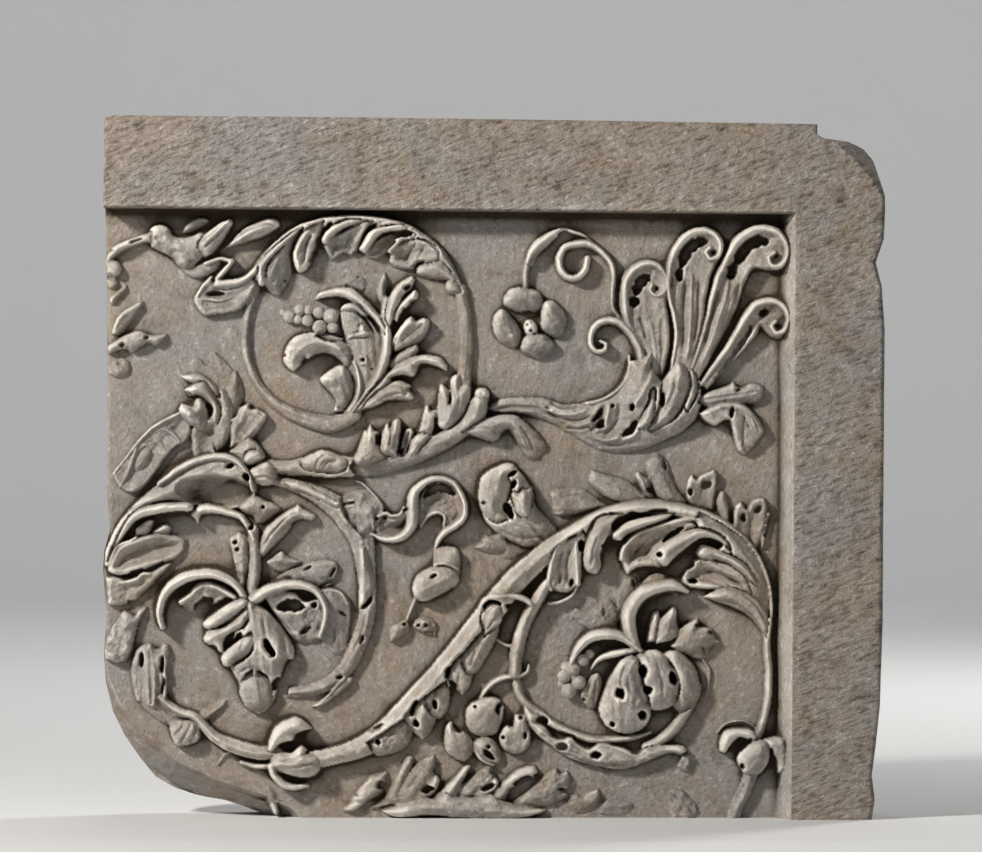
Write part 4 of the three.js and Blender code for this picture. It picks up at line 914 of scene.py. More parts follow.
def carve_big_leaf(relief):
    """The large drooping leaf at the end of the left scroll."""
    relief.slab([318, 594, 330, 590, 342, 594, 350, 606, 348, 642, 343, 654, 334, 656, 320, 640, 320, 612],
        10)
    relief.band([318, 593, 331, 591, 341, 595, 347, 606], (4, 5, 3), (12, 14, 12))
    relief.drills([(1.6, 1, 338, 612, 347, 618), (1.4, 3, 334, 630, 334, 646)])
    relief.slab([262, 596, 276, 590, 292, 592, 304, 602, 318, 598, 322, 610, 319, 640, 304, 644, 292, 640,
        272, 614], 15, edge=5, dish=4)
    relief.drills([(7, -8, 276, 608, 288, 606, 303, 608), (3, 0, 313, 606), (3, -4, 300, 634, 310, 628)])
    relief.roughen([(312, 620, 12, 20, 0, 6), (302, 638, 16, 8, 0, 5)])
    relief.band([244, 606, 264, 593, 280, 587, 297, 585, 311, 589, 320, 597, 325, 609, 324, 622, 319, 638],
        (14, 14, 12, 11, 9, 8, 7, 5), (34, 33, 31, 28, 26, 22, 17))
    relief.grooves([(2, 3, 262, 600, 280, 594, 300, 592, 314, 600)])
    relief.slab([180, 602, 192, 584, 206, 580, 220, 583, 234, 592, 240, 600, 226, 604, 208, 606, 196, 612,
        186, 612], 17, lean=(0, -0.3))
    relief.drills([(6, -8, 172, 624, 174, 612, 182, 602), (6, -8, 196, 620, 200, 606, 212, 600), (4, -6,
        214, 610, 222, 604, 232, 599), (2.4, 0, 184, 596, 190, 588, 198, 583)])
    relief.band([180, 602, 190, 596, 198, 588, 210, 586, 234, 598], (8, 10, 9, 6), (22, 24, 26))
    relief.roughen([(210, 592, 16, 8, 0, 5)])
    relief.band([161, 628, 158, 614, 161, 600, 169, 588, 182, 579, 198, 575, 214, 575, 228, 581, 238, 589,
        244, 600], (6, 8, 10, 12, 12, 11, 9, 9), (24, 30, 33, 35, 35, 34, 33))
    relief.grooves([(2, 3, 168, 600, 178, 589, 194, 582, 212, 580, 230, 588), (2, 2, 162, 606, 172, 590,
        190, 580)])
    relief.slab([244, 598, 270, 614, 292, 646, 292, 660, 284, 664, 274, 700, 262, 714, 250, 712, 240, 700,
        238, 686, 228, 664, 232, 640], 31)
    relief.slab([202, 628, 205, 620, 236, 599, 250, 600, 244, 612, 220, 627, 210, 632], 31,
        lean=(0.1, -0.35))
    relief.slab([203, 643, 204, 634, 211, 629, 224, 626, 246, 606, 252, 614, 244, 628, 230, 634, 223, 642,
        224, 656], 30, lean=(0.1, -0.3))
    relief.drills([(3, -3, 240, 634, 233, 645, 227, 650), (3, -3, 265, 641, 273, 657), (3, 0, 208, 646,
        217, 653), (8, -8, 270, 690, 279, 684, 283, 700), (9, -9, 232, 694, 234, 706, 246, 716), (3, -3,
        226, 676, 230, 684)])
    relief.slab([221, 664, 223, 653, 252, 630, 256, 644, 248, 658, 228, 668], 33)
    relief.slab([238, 690, 244, 676, 254, 670, 266, 676, 272, 690, 270, 704, 262, 712, 250, 712, 242, 704],
        23)
    relief.band([250, 606, 256, 652, 254, 676], (11, 9, 8, 5), (35, 34, 31, 26), keeled)
    relief.grooves([(2.4, 4, 270, 612, 281, 622, 291, 634), (3, 3, 246, 616, 240, 652), (3, 3, 262, 618,
        266, 636, 268, 656), (2.4, 3, 276, 628, 284, 644, 286, 658), (3, 4, 238, 674, 250, 668, 264, 672)])


def carve_lower_left_stem(relief):
    """The stem at the foot of the left scroll, its three leaf fingers and its collar."""
    relief.band([216, 766, 222, 758, 230, 753], (3, 3), (4, 6))
    relief.slab([196, 720, 200, 712, 226, 700, 222, 708, 204, 722], 6, lean=(0.2, 0.4))
    relief.slab([132, 656, 146, 644, 155, 650, 163, 644, 168, 652, 162, 692, 170, 706, 196, 722, 190, 732,
        156, 722, 132, 694], 13, lean=(-0.1, -0.05))
    relief.fingers([(150, 704, 148, 646, 0.02, 14, 18, 14), (137, 700, 135, 652, 0.0, 8, 15, 10), (162, 704,
        162, 646, -0.02, 8, 15, 11)])
    relief.drills([(1.9, -3, 140, 654, 140, 668), (2, -3, 161, 658, 160, 674), (1.6, 1, 163, 680,
        160, 696)])
    relief.band([158, 698, 170, 708, 183, 715, 194, 719, 218, 741, 252, 753, 276, 755], (7, 9, 9, 10,
        13, 15, 15, 14), (16, 18, 20, 21, 22, 22, 22), keeled)
    relief.slab([168, 726, 176, 721, 190, 721, 197, 727, 199, 738, 192, 745, 176, 748, 170, 738], 21,
        lean=(0, 0))
    relief.grooves([(2, 4, 178, 746, 186, 734, 190, 724), (2, 4, 172, 738, 180, 730, 184, 723), (2, 4,
        188, 745, 194, 734, 195, 726), (2.4, 4, 160, 708, 172, 719, 186, 721)])
    relief.drills([(1.4, 4, 180, 721.5, 188, 720)])
    relief.band([240, 764, 256, 768, 272, 768], (5, 6, 6), (10, 14, 15))
    relief.roughen([(134, 682, 8, 26, 0, 3), (212, 748, 20, 8, 15, 3), (150, 700, 18, 14, 0, 2)])


def carve_lower_left_collar(relief):
    """The curled collar that ties the stems at the foot of the block."""
    relief.drills([(9, -8, 282, 748, 296, 746), (6, -6, 300, 742, 309, 736), (7, -8, 284, 781, 296, 785)])
    relief.slab([266, 752, 273, 729, 296, 718, 312, 730, 296, 735, 292, 742, 280, 745, 272, 754], 33)
    relief.slab([270, 760, 278, 752, 290, 753, 300, 746, 308, 752, 318, 758, 320, 770, 312, 778, 298, 779,
        273, 771], 35, lean=(0, -0.25))
    relief.band([271, 768, 274, 777, 283, 786, 294, 789, 306, 787], (9, 9, 7, 5), (26, 24, 20, 14))
    relief.grooves([(2, 4, 276, 762, 290, 761, 306, 754, 316, 757), (2, 4, 276, 768, 292, 768, 316, 764),
        (3, 1.4, 280, 794, 294, 797, 308, 792), (3, 1.2, 282, 801, 296, 804, 310, 799)])
    relief.drills([(1.6, 8, 307, 753)])


def carve_leaves_over_stem(relief):
    """The pod leaf over the great stem, and the low leaves that lie behind its curve."""
    low_leaves = [([552, 500, 554, 490, 580, 488, 592, 494, 602, 502, 612, 506, 560, 516], 9), ([590, 484,
        592, 470, 626, 480, 642, 492, 656, 500, 640, 506, 612, 500], 12), ([646, 466, 652, 456, 660, 454,
        668, 462, 672, 476, 680, 492, 690, 504, 664, 504, 652, 484], 11), ([718, 504, 721, 492, 727, 494,
        732, 526, 724, 524], 10), ([766, 514, 771, 512, 774, 520, 763, 552, 762, 536], 10)]
    for outline, rise in low_leaves:
        relief.slab(outline, rise, lean=(-0.06, 0))
    relief.slab([636, 476, 640, 472, 646, 477, 653, 478, 651, 486, 655, 496, 662, 502, 650, 502], 10,
        lean=(-0.3, -0.2))
    relief.slab([688, 500, 688, 482, 693, 474, 698, 480, 702, 475, 716, 469, 719, 480, 714, 512, 698, 508],
        10, edge=3, dish=4)
    relief.slab([735, 530, 736, 508, 742, 502, 748, 510, 754, 500, 766, 498, 769, 510, 764, 536, 756, 552,
        744, 544], 11, edge=3, dish=5)
    relief.drills([(2.6, -3, 648, 488, 655, 494), (2.4, -3, 691, 489, 692, 496), (5, 0, 702, 487, 713, 483),
        (1.6, 0, 671, 469), (1.6, -2, 592, 490, 602, 499), (2, -2, 731, 508, 732, 526), (1.6, -2, 719, 476,
        719, 494), (1.8, -2, 773, 514, 766, 538), (1.6, -2, 664, 460, 667, 470), (4, 1, 744, 514, 745, 522),
        (5, 1, 757, 508, 762, 512)])
    relief.grooves([(2, 2, 560, 498, 580, 496, 600, 504), (2, 2, 606, 482, 626, 490, 644, 500), (2, 2,
        750, 506, 752, 530), (1.8, -2.5, 548, 510, 556, 514, 566, 512), (1.8, -2.5, 548, 511, 552, 519,
        560, 526), (2, -3, 636, 474, 642, 480, 646, 492)])
    relief.slab([475, 548, 482, 541, 480, 535, 490, 536, 502, 534, 510, 545, 530, 552, 512, 560, 502, 557,
        506, 551, 490, 554], 7)
    relief.drills([(1.2, 0, 481, 537, 486, 538)])
    relief.slab([480, 486, 487, 472, 511, 464, 532, 488, 536, 506, 558, 530, 552, 542, 534, 548, 514, 543,
        486, 522], 25, lean=(-0.35, -0.25))
    relief.slab([478, 494, 482, 476, 502, 464, 513, 464, 518, 470, 509, 477, 512, 484, 510, 498, 504, 510,
        510, 520, 498, 524, 487, 518, 480, 508], 31)
    relief.drills([(3.6, -6, 505, 504, 512, 518), (1.8, 4, 509, 476, 516, 471), (2, 2, 512, 488, 515, 481),
        (2, 6, 533, 494, 531, 508), (2, 12, 483, 503)])
    relief.slab([510, 496, 513, 490, 518, 492, 522, 486, 528, 489, 533, 486, 530, 514, 522, 518, 515, 512],
        31, lean=(0, 0))
    relief.grooves([(2, 3, 514, 497, 519, 506, 521, 516), (2, 3, 528, 492, 526, 506), (2, -3, 503, 510,
        511, 521, 528, 526, 548, 530), (3, 3, 498, 530, 520, 538, 546, 536)])
    relief.roughen([(524, 502, 9, 16, 0, 3), (496, 512, 16, 12, 0, 2)])


def carve_main_stem(relief):
    """The great stem from the collar up to the right scroll, with its overlapping sheaths."""
    relief.band([306, 761, 330, 758, 372, 742, 424, 696, 504, 595, 520, 577, 556, 546, 598, 523], (17, 18,
        20, 23, 26, 29, 29, 27, 26, 26, 26, 25, 24, 22, 20, 19, 18), (22, 24, 25, 27, 28, 29, 29, 29,
        28, 28, 29, 29, 29, 29, 29, 30, 30), keeled)
    sheaths = [([366, 744, 408, 716, 412, 736, 404, 750, 378, 758], 19), ([404, 716, 426, 696, 436, 692,
        438, 712, 432, 732, 422, 742, 408, 728], 22), ([424, 700, 446, 680, 450, 696, 447, 712, 440, 720,
        430, 716], 20), ([446, 676, 462, 654, 472, 648, 474, 668, 470, 688, 462, 698], 21), ([460, 660,
        470, 644, 496, 616, 498, 636, 478, 672, 466, 676], 21)]
    for outline, rise in sheaths:
        relief.slab(outline, rise, lean=(-0.3, -0.25))
    relief.drills([(2, 8, 362, 731, 374, 730, 382, 725), (2.2, 4, 411, 717, 413, 708, 417, 702), (2, 1,
        377, 741, 378, 746), (1.8, 0, 434, 702, 435, 710), (2, 2, 446, 678, 449, 668), (4, -4, 414, 726,
        418, 724), (3, -4, 450, 682, 455, 690)])
    relief.grooves([(2.4, 5, 446, 690, 447, 676, 452, 664, 462, 652), (3, 3, 420, 702, 416, 718, 411, 728),
        (3, 3, 436, 690, 424, 724), (3, 3, 392, 732, 384, 744), (3, 2.4, 462, 662, 456, 688), (3, 3,
        476, 650, 470, 668), (2, -3, 376, 750, 380, 740, 386, 733), (2.4, -3, 409, 720, 418, 703), (3, 2,
        528, 570, 514, 588, 504, 598), (2, -2, 540, 552, 510, 584)])
    relief.roughen([(390, 744, 20, 12, -20, 3), (428, 712, 16, 24, 20, 2.4), (470, 670, 12, 24, 20, 3)])
    relief.band([481, 608, 486, 601, 497, 597, 510, 596, 521, 598, 531, 604], (6, 8, 8, 7, 6), (30, 32,
        31, 28))
    relief.drills([(2, 4, 484, 608, 490, 603, 500, 604), (3, -2, 506, 606, 522, 610)])
    relief.slab([480, 620, 484, 609, 492, 603, 501, 606, 501, 624, 484, 638], 31)
    relief.grooves([(2, 4, 484, 634, 485, 620, 490, 610, 498, 605), (1.6, -4, 484, 636, 502, 618), (2, 4,
        486, 632, 502, 609)])


def carve_lower_right_scroll(relief):
    """The great right scroll: its rim, the lobes that hang inward from it, and the stems below."""
    relief.band([556, 546, 580, 530, 602, 518, 622, 511, 646, 507, 672, 509, 698, 516, 722, 527, 742, 543,
        756, 562, 765, 585, 769, 610, 768, 645, 770, 672, 769, 700, 764, 724, 757, 742], (18, 18, 17, 16,
        15, 15, 16, 17, 16, 15, 13, 11, 8, 9, 9, 9, 9), (30, 32, 32, 32, 31, 31, 31, 30, 28, 25, 22, 18,
        15, 14, 13, 13, 13))
    relief.slab([700, 512, 724, 524, 745, 540, 760, 560, 770, 590, 772, 618, 760, 622, 744, 612, 706, 556,
        690, 530], 24)
    relief.drills([(7, -8, 642, 548, 654, 556, 664, 560), (8, -9, 612, 548, 617, 556), (8, -8, 660, 574,
        684, 576, 700, 594), (8, -7, 604, 560, 608, 572)])
    relief.slab([556, 546, 584, 530, 588, 540, 583, 556, 583, 572, 578, 586, 568, 593, 556, 592, 548, 584,
        549, 566], 21, edge=5, dish=5)
    relief.band([565, 540, 556, 551, 549, 578, 551, 590], (7, 8, 7, 5), (27, 27, 25, 20))
    relief.band([580, 532, 576, 548, 578, 584], (6, 8, 7), (24, 24, 20))
    relief.grooves([(3, 4, 562, 550, 559, 568, 560, 586), (3, 3, 570, 548, 567, 566, 568, 586)])
    relief.drills([(2, -2, 572, 580, 571, 586), (3, 0, 582, 541, 581, 552), (2.4, -3, 584, 566, 585, 572),
        (5, -6, 556, 598, 566, 597)])
    relief.band([549, 604, 560, 603, 570, 598, 577, 589, 581, 578], (4, 4, 3), (12, 13, 11))
    relief.slab([596, 518, 587, 534, 583, 562, 588, 573, 597, 575, 602, 566, 602, 552, 618, 526, 634, 516,
        616, 512], 31)
    relief.grooves([(1.6, 3, 596, 521, 588, 532, 584, 542), (3, 3, 598, 536, 593, 552, 592, 568)])
    relief.drills([(3.4, 6, 612, 530, 618, 522, 630, 516, 643, 514), (7, -9, 606, 552, 612, 543, 620, 542)])
    relief.slab([662, 568, 640, 568, 628, 576, 623, 566, 621, 554, 627, 541, 662, 525, 690, 520, 700, 528,
        664, 552], 22, edge=5, dish=13, lean=(0, -0.15))
    relief.band([700, 520, 684, 520, 648, 530, 634, 538, 625, 548, 622, 560], (5, 7, 7, 5), (30, 29,
        27, 22))
    relief.grooves([(2.4, 3, 690, 524, 662, 532, 642, 546, 632, 560), (2, 3, 652, 548, 640, 562)])
    relief.slab([613, 540, 612, 533, 628, 521, 658, 514, 676, 513, 664, 522, 629, 535, 621, 541], 33,
        lean=(0, 0))
    relief.drills([(1.4, 10, 643, 514, 656, 511, 668, 511), (2.4, 4, 664, 542, 672, 535, 684, 528)])
    relief.slab([688, 588, 712, 590, 740, 592, 754, 596, 748, 580, 732, 566, 700, 558, 683, 577], 19,
        edge=4, dish=10, lean=(0.08, -0.1))
    relief.grooves([(3, 4, 704, 572, 722, 574, 746, 588), (3, 4, 700, 580, 716, 583, 736, 590), (3, 3,
        714, 562, 734, 572, 750, 586), (2, -4, 702, 560, 692, 567, 685, 577)])
    relief.drills([(9, -9, 672, 565, 696, 548, 712, 544, 724, 546), (3, -3, 690, 581, 698, 582), (5, -8,
        684, 568, 694, 562)])
    relief.slab([657, 562, 656, 552, 664, 543, 690, 529, 706, 528, 720, 533, 730, 543, 733, 556, 724, 545,
        710, 539, 698, 541, 676, 558, 666, 567], 33)
    relief.grooves([(2, -2.5, 676, 530, 694, 525, 712, 527), (2, 3, 668, 556, 684, 544, 702, 535), (2, 3,
        734, 554, 748, 566, 758, 582)])
    relief.drills([(1.7, 3, 659, 555), (2, 4, 735, 590, 741, 593)])
    relief.slab([697, 555, 699, 548, 708, 545, 742, 560, 754, 574, 760, 590, 734, 568, 718, 561, 704, 561],
        26, lean=(0, 0))
    relief.drills([(5, -6, 718, 606, 732, 612, 748, 622, 757, 630), (4, -6, 708, 604, 718, 604)])
    relief.slab([704, 598, 726, 587, 754, 596, 764, 606, 770, 622, 768, 640, 746, 614], 22, lean=(0, -0.25))
    relief.grooves([(2, 3, 742, 594, 756, 604, 766, 622), (2.4, 4, 716, 600, 736, 604, 752, 616, 762, 630)])


def carve_right_stems(relief):
    """The stem under the great scroll, its thin side stem, and the sheath that rounds the flower."""
    relief.band([552, 580, 542, 592, 524, 626, 518, 648, 515, 674], (12, 14, 14, 14, 14, 12), (22, 21,
        20, 19, 18, 16))
    relief.grooves([(2, 2.5, 540, 600, 529, 620, 522, 648, 520, 672)])
    relief.band([498, 641, 506, 646, 515, 648], (4, 5), (8, 11))
    relief.drills([(3, -4, 502, 652, 510, 654)])
    relief.band([517, 684, 521, 698, 530, 708, 542, 716, 556, 727, 594, 741, 634, 739, 652, 734], (11, 10,
        9, 9, 8, 8, 8, 7, 4), (12, 13, 14, 15, 15, 14, 12, 8))
    relief.band([646, 748, 662, 741, 676, 729, 694, 700, 698, 688], (8, 12, 13, 13, 10), (16, 17, 17, 15,
        12))
    relief.grooves([(2, 3, 664, 746, 682, 730, 693, 712, 699, 696)])
    relief.slab([524, 706, 540, 716, 536, 722, 546, 728, 553, 738, 562, 741, 571, 738, 580, 746, 590, 750,
        601, 744, 626, 750, 638, 756, 648, 748, 678, 746, 688, 751, 682, 757, 668, 755, 636, 768, 614, 771,
        566, 758, 530, 728], 22, lean=(0, -0.25))
    relief.grooves([(2.4, -4, 555, 740, 563, 743, 571, 740, 580, 748, 592, 752, 602, 746, 622, 751,
        637, 757, 650, 749, 668, 747, 684, 750), (2.4, 3, 556, 750, 584, 762, 614, 766, 644, 761), (3, 4,
        540, 734, 560, 748, 586, 758)])
    relief.drills([(4, -6, 539, 720, 548, 724), (2, 2, 558, 733, 576, 739), (5, 3, 556, 748, 568, 748),
        (5, 3, 592, 757, 602, 756), (2, 1, 612, 746, 640, 746)])
    relief.slab([678, 768, 682, 758, 690, 756, 692, 766, 688, 775], 9)
    relief.roughen([(590, 758, 50, 12, 12, 3), (684, 766, 10, 10, 0, 4)])
    relief.band([529, 666, 527, 673, 519, 677, 506, 678, 494, 683, 486, 691, 481, 700], (4, 6, 6, 6, 5),
        (9, 13, 15, 14, 12))


def carve_inner_flower(relief):
    """The heavy triple bud in the right scroll, its hoods and petals, and a small leaf."""
    relief.slab([636, 602, 640, 588, 650, 576, 660, 573, 668, 577, 669, 583, 680, 584, 680, 596], 8)
    relief.slab([617, 606, 619, 590, 627, 580, 637, 578, 637, 596, 630, 620, 622, 626], 7, lean=(0, 0))
    relief.slab([571, 618, 576, 608, 590, 612, 606, 599, 614, 604, 620, 618, 618, 632, 596, 634], 5,
        lean=(0, 0))
    relief.drills([(2, -2, 634, 580, 635, 588), (1.6, 0, 666, 578, 667, 582), (2.4, 0, 604, 610, 604, 618),
        (8, -9, 644, 624, 650, 610, 664, 602, 682, 600), (1.2, -1, 555, 641, 566, 643, 576, 642), (4, -6,
        674, 640, 681, 632)])
    relief.grooves([(1.8, -2, 556, 616, 590, 628), (1.8, -2, 572, 612, 573, 622), (1.8, -2, 556, 650,
        564, 646, 572, 648), (1.6, -2, 556, 655, 566, 656, 576, 652), (1.6, -3, 601, 604, 603, 617,
        606, 622)])
    relief.slab([646, 644, 652, 616, 659, 611, 662, 622, 661, 640], 20, lean=(0, 0))
    relief.slab([656, 645, 660, 622, 674, 606, 678, 612, 678, 624, 681, 634, 672, 642], 23,
        lean=(-0.4, -0.1))
    relief.slab([670, 648, 676, 640, 682, 628, 699, 619, 700, 628, 712, 629, 715, 636, 722, 643, 712, 648,
        708, 658, 698, 661], 18, lean=(-0.3, -0.4))
    relief.drills([(1.8, 2, 698, 626), (1.8, 2, 711, 633), (2, 3, 704, 648, 706, 656)])
    relief.band([636, 648, 631, 634, 629, 618, 633, 605, 643, 594, 657, 588, 673, 586, 688, 592], (12, 15,
        16, 16, 15, 14, 12, 5), (29, 31, 33, 34, 33, 31, 28, 22))
    relief.grooves([(2, 3, 636, 620, 640, 606, 652, 597, 668, 594), (2, 3, 640, 632, 638, 646)])
    relief.drills([(6, -8, 585, 656, 594, 648, 606, 644, 620, 645), (5, -8, 575, 668, 582, 660), (10, -8,
        586, 680, 618, 662)])
    relief.band([640, 650, 610, 656, 598, 661, 591, 670], (6, 9, 9, 7, 3), (24, 22, 20, 16))
    relief.band([571, 666, 576, 654, 584, 643, 596, 636, 611, 635, 625, 639, 642, 652], (4, 8, 11, 12,
        12, 11, 9, 6), (22, 27, 30, 31, 31, 30, 28))
    relief.band([700, 656, 710, 672, 707, 700], (4, 4, 3), (5, 5, 4))
    relief.slab([580, 698, 590, 677, 599, 673, 603, 684, 598, 706, 591, 711], 11)
    relief.drills([(1.3, 0, 584, 701), (1.8, -1, 602, 697, 600, 704)])
    relief.grooves([(2, 2.5, 590, 680, 588, 700), (2, 2.5, 597, 680, 594, 704)])
    relief.slab([662, 658, 674, 651, 686, 657, 697, 670, 701, 688, 697, 704, 688, 712, 676, 711, 662, 682],
        26)
    relief.slab([626, 666, 638, 654, 654, 650, 668, 658, 678, 674, 681, 692, 674, 706, 658, 712, 642, 706,
        630, 690], 36)
    relief.slab([600, 704, 616, 668, 630, 656, 640, 660, 644, 678, 652, 712, 646, 728, 632, 735, 614, 732,
        603, 722], 34)
    relief.grooves([(3, 4, 648, 652, 630, 662, 622, 676, 621, 690), (3, 4, 645, 656, 637, 674, 640, 694,
        650, 708), (3, 3, 668, 660, 674, 676, 676, 700), (3, 2, 656, 660, 663, 684, 662, 706), (2, -4,
        622, 700, 638, 708), (3, 2, 612, 694, 616, 716), (3, 2, 628, 672, 630, 690, 640, 702)])
    relief.drills([(3.4, -3, 643, 667, 644, 677), (3.2, -3, 618, 690, 622, 698), (3.4, -3, 672, 674,
        675, 684), (1.8, 4, 612, 723, 614, 727), (4, -4, 646, 688, 650, 694), (4, -4, 642, 712, 644, 720)])


def carve_ribbon_and_bud(relief):
    """The ribbon that winds like an S in the middle, with the bud and thin stem that hang from it."""
    relief.slab([373, 522, 376, 513, 385, 514, 392, 518, 401, 514, 420, 500, 418, 520, 411, 533, 398, 541,
        386, 541, 376, 534], 11, edge=4, dish=9, lean=(0, 0))
    relief.slab([417, 520, 418, 500, 427, 486, 440, 482, 452, 486, 462, 500, 464, 514, 456, 524, 444, 530,
        442, 514, 436, 512, 428, 516, 420, 528], 10, edge=4, dish=3, lean=(0, 0))
    relief.drills([(5, -8, 424, 497, 432, 489, 445, 488, 454, 495)])
    relief.band([444, 528, 444, 517, 437, 512.5, 428, 516, 420, 527], (3, 5, 3), (14, 15, 12))
    relief.grooves([(1.8, -2.5, 437, 503, 444, 503, 445, 499), (3, 3, 452, 500, 458, 512, 452, 522)])
    relief.band([372, 535, 384, 539.5, 397, 539, 407, 532, 412, 520, 413, 496, 420, 486, 431, 479.5,
        443, 479, 454, 484, 461, 494, 465, 507, 463, 518, 455, 526, 445, 532, 438, 541, 434, 552], (4, 7,
        8, 10, 13, 13, 12, 9, 7, 6, 6, 6, 6, 7, 8, 8, 6, 3), (16, 20, 22, 23, 24, 24, 25, 25, 25, 24,
        23, 22, 22, 22, 22, 20, 16, 10))
    relief.band([373, 530, 374, 520, 385, 513.5, 391, 516.5, 399, 515, 404, 508], (3, 4, 3), (15, 16, 18))
    relief.drills([(1.5, 6, 402, 511, 408, 509), (2, 2, 376, 519), (2.2, 1, 384, 518)])
    relief.slab([434, 551, 446, 546, 459, 552, 458, 584, 446, 590, 434, 574], 17, lean=(0.1, -0.1))
    relief.band([435, 566, 446, 564, 457, 569], (5, 6, 4), (21, 22, 19))
    relief.slab([412, 593, 413, 582, 420, 573, 432, 567, 446, 566, 457, 572, 459, 582, 450, 590, 428, 602,
        417, 601], 26)
    relief.drills([(1.3, 12, 431, 578, 436, 575)])
    relief.band([415, 600, 406, 622], (5, 5, 4), (10, 9, 9))
    relief.slab([389, 629, 404, 620, 409, 625, 407, 634, 390, 644], 13)
    relief.slab([414, 630, 414, 622, 424, 618, 432, 620, 437, 628, 434, 638], 9)
    relief.drills([(1.3, 1, 404, 625), (1.6, 0, 418, 626), (1.5, 0, 425, 626), (5, -4, 424, 637, 433, 634)])
    relief.roughen([(424, 630, 14, 12, 0, 5), (398, 632, 12, 10, 0, 3)])


def carve_lower_flower(relief):
    """The open flower near the foot."""
    relief.drills([(5, -7, 478, 738, 492, 741), (3, -4, 468, 734, 472, 741), (3, -5, 500, 720, 500, 734)])
    relief.slab([473, 752, 475, 742, 482, 738, 492, 740, 500, 750, 503, 762, 494, 768, 482, 765], 15,
        lean=(-0.3, -0.3))
    relief.band([476, 744, 477, 754, 483, 762, 493, 767], (4, 5, 3), (15, 15, 12))
    relief.drills([(1.6, 2, 488, 748), (3, -2, 484, 751, 489, 757, 495, 761)])
    relief.slab([445, 730, 451, 722, 455, 730, 462, 731, 470, 737, 474, 746, 472, 757, 462, 763, 445, 752],
        20, lean=(-0.3, -0.25))
    relief.drills([(3.4, 1, 455, 722, 459, 731, 464, 731)])
    relief.slab([499, 742, 501, 732, 507, 726, 513, 728, 515, 716, 524, 716, 529, 724, 531, 740, 528, 750,
        518, 756, 506, 753], 19, edge=7, dish=2)
    relief.drills([(1.8, 4, 510, 727), (1.8, 4, 521, 719), (2, 4, 526, 733, 525, 740), (1.6, 3, 503, 739)])
    relief.slab([465, 716, 468, 707, 480, 700, 492, 698, 500, 701, 504, 710, 499, 732, 488, 738, 474, 736,
        467, 728], 25, lean=(-0.2, -0.35))
    relief.drills([(1.2, 8, 475, 707.5), (2, 3, 503, 702, 498, 709, 498, 715)])


def carve_lower_right_collar(relief):
    """The collar in the lower right corner and the stem that leaves the block below it."""
    relief.band([752, 776, 746, 792, 738, 808, 734, 820], (15, 14, 14, 14), (14, 13, 12, 12), keeled)
    relief.grooves([(2, 3, 746, 784, 730, 814)])
    relief.drills([(8, -8, 732, 750, 742, 744, 748, 744), (5, -6, 728, 754, 736, 756)])
    relief.band([719, 734, 727, 725.5, 738, 722.5, 749, 724, 758, 730], (3, 3, 2), (6, 7, 5))
    relief.slab([720, 752, 721, 740, 728, 731, 750, 730, 760, 738, 755, 745, 740, 739, 726, 755], 25)
    relief.slab([757, 742, 779, 737, 789, 741, 791, 768, 784, 777, 777, 773, 776, 758], 25)
    relief.drills([(2.6, -4, 772, 750, 772, 762), (2.2, -3, 777, 768, 776, 775), (6, -6, 766, 776,
        770, 770)])
    relief.slab([738, 763, 740, 754, 757, 741, 767, 742, 772, 752, 770, 764, 764, 773, 756, 777, 746, 775],
        29)
    relief.grooves([(2, 3, 764, 746, 766, 758, 760, 770), (2, -2, 745, 766, 748, 774)])
    relief.drills([(2.4, 2, 743, 765, 744, 770), (1.6, 6, 751, 741)])


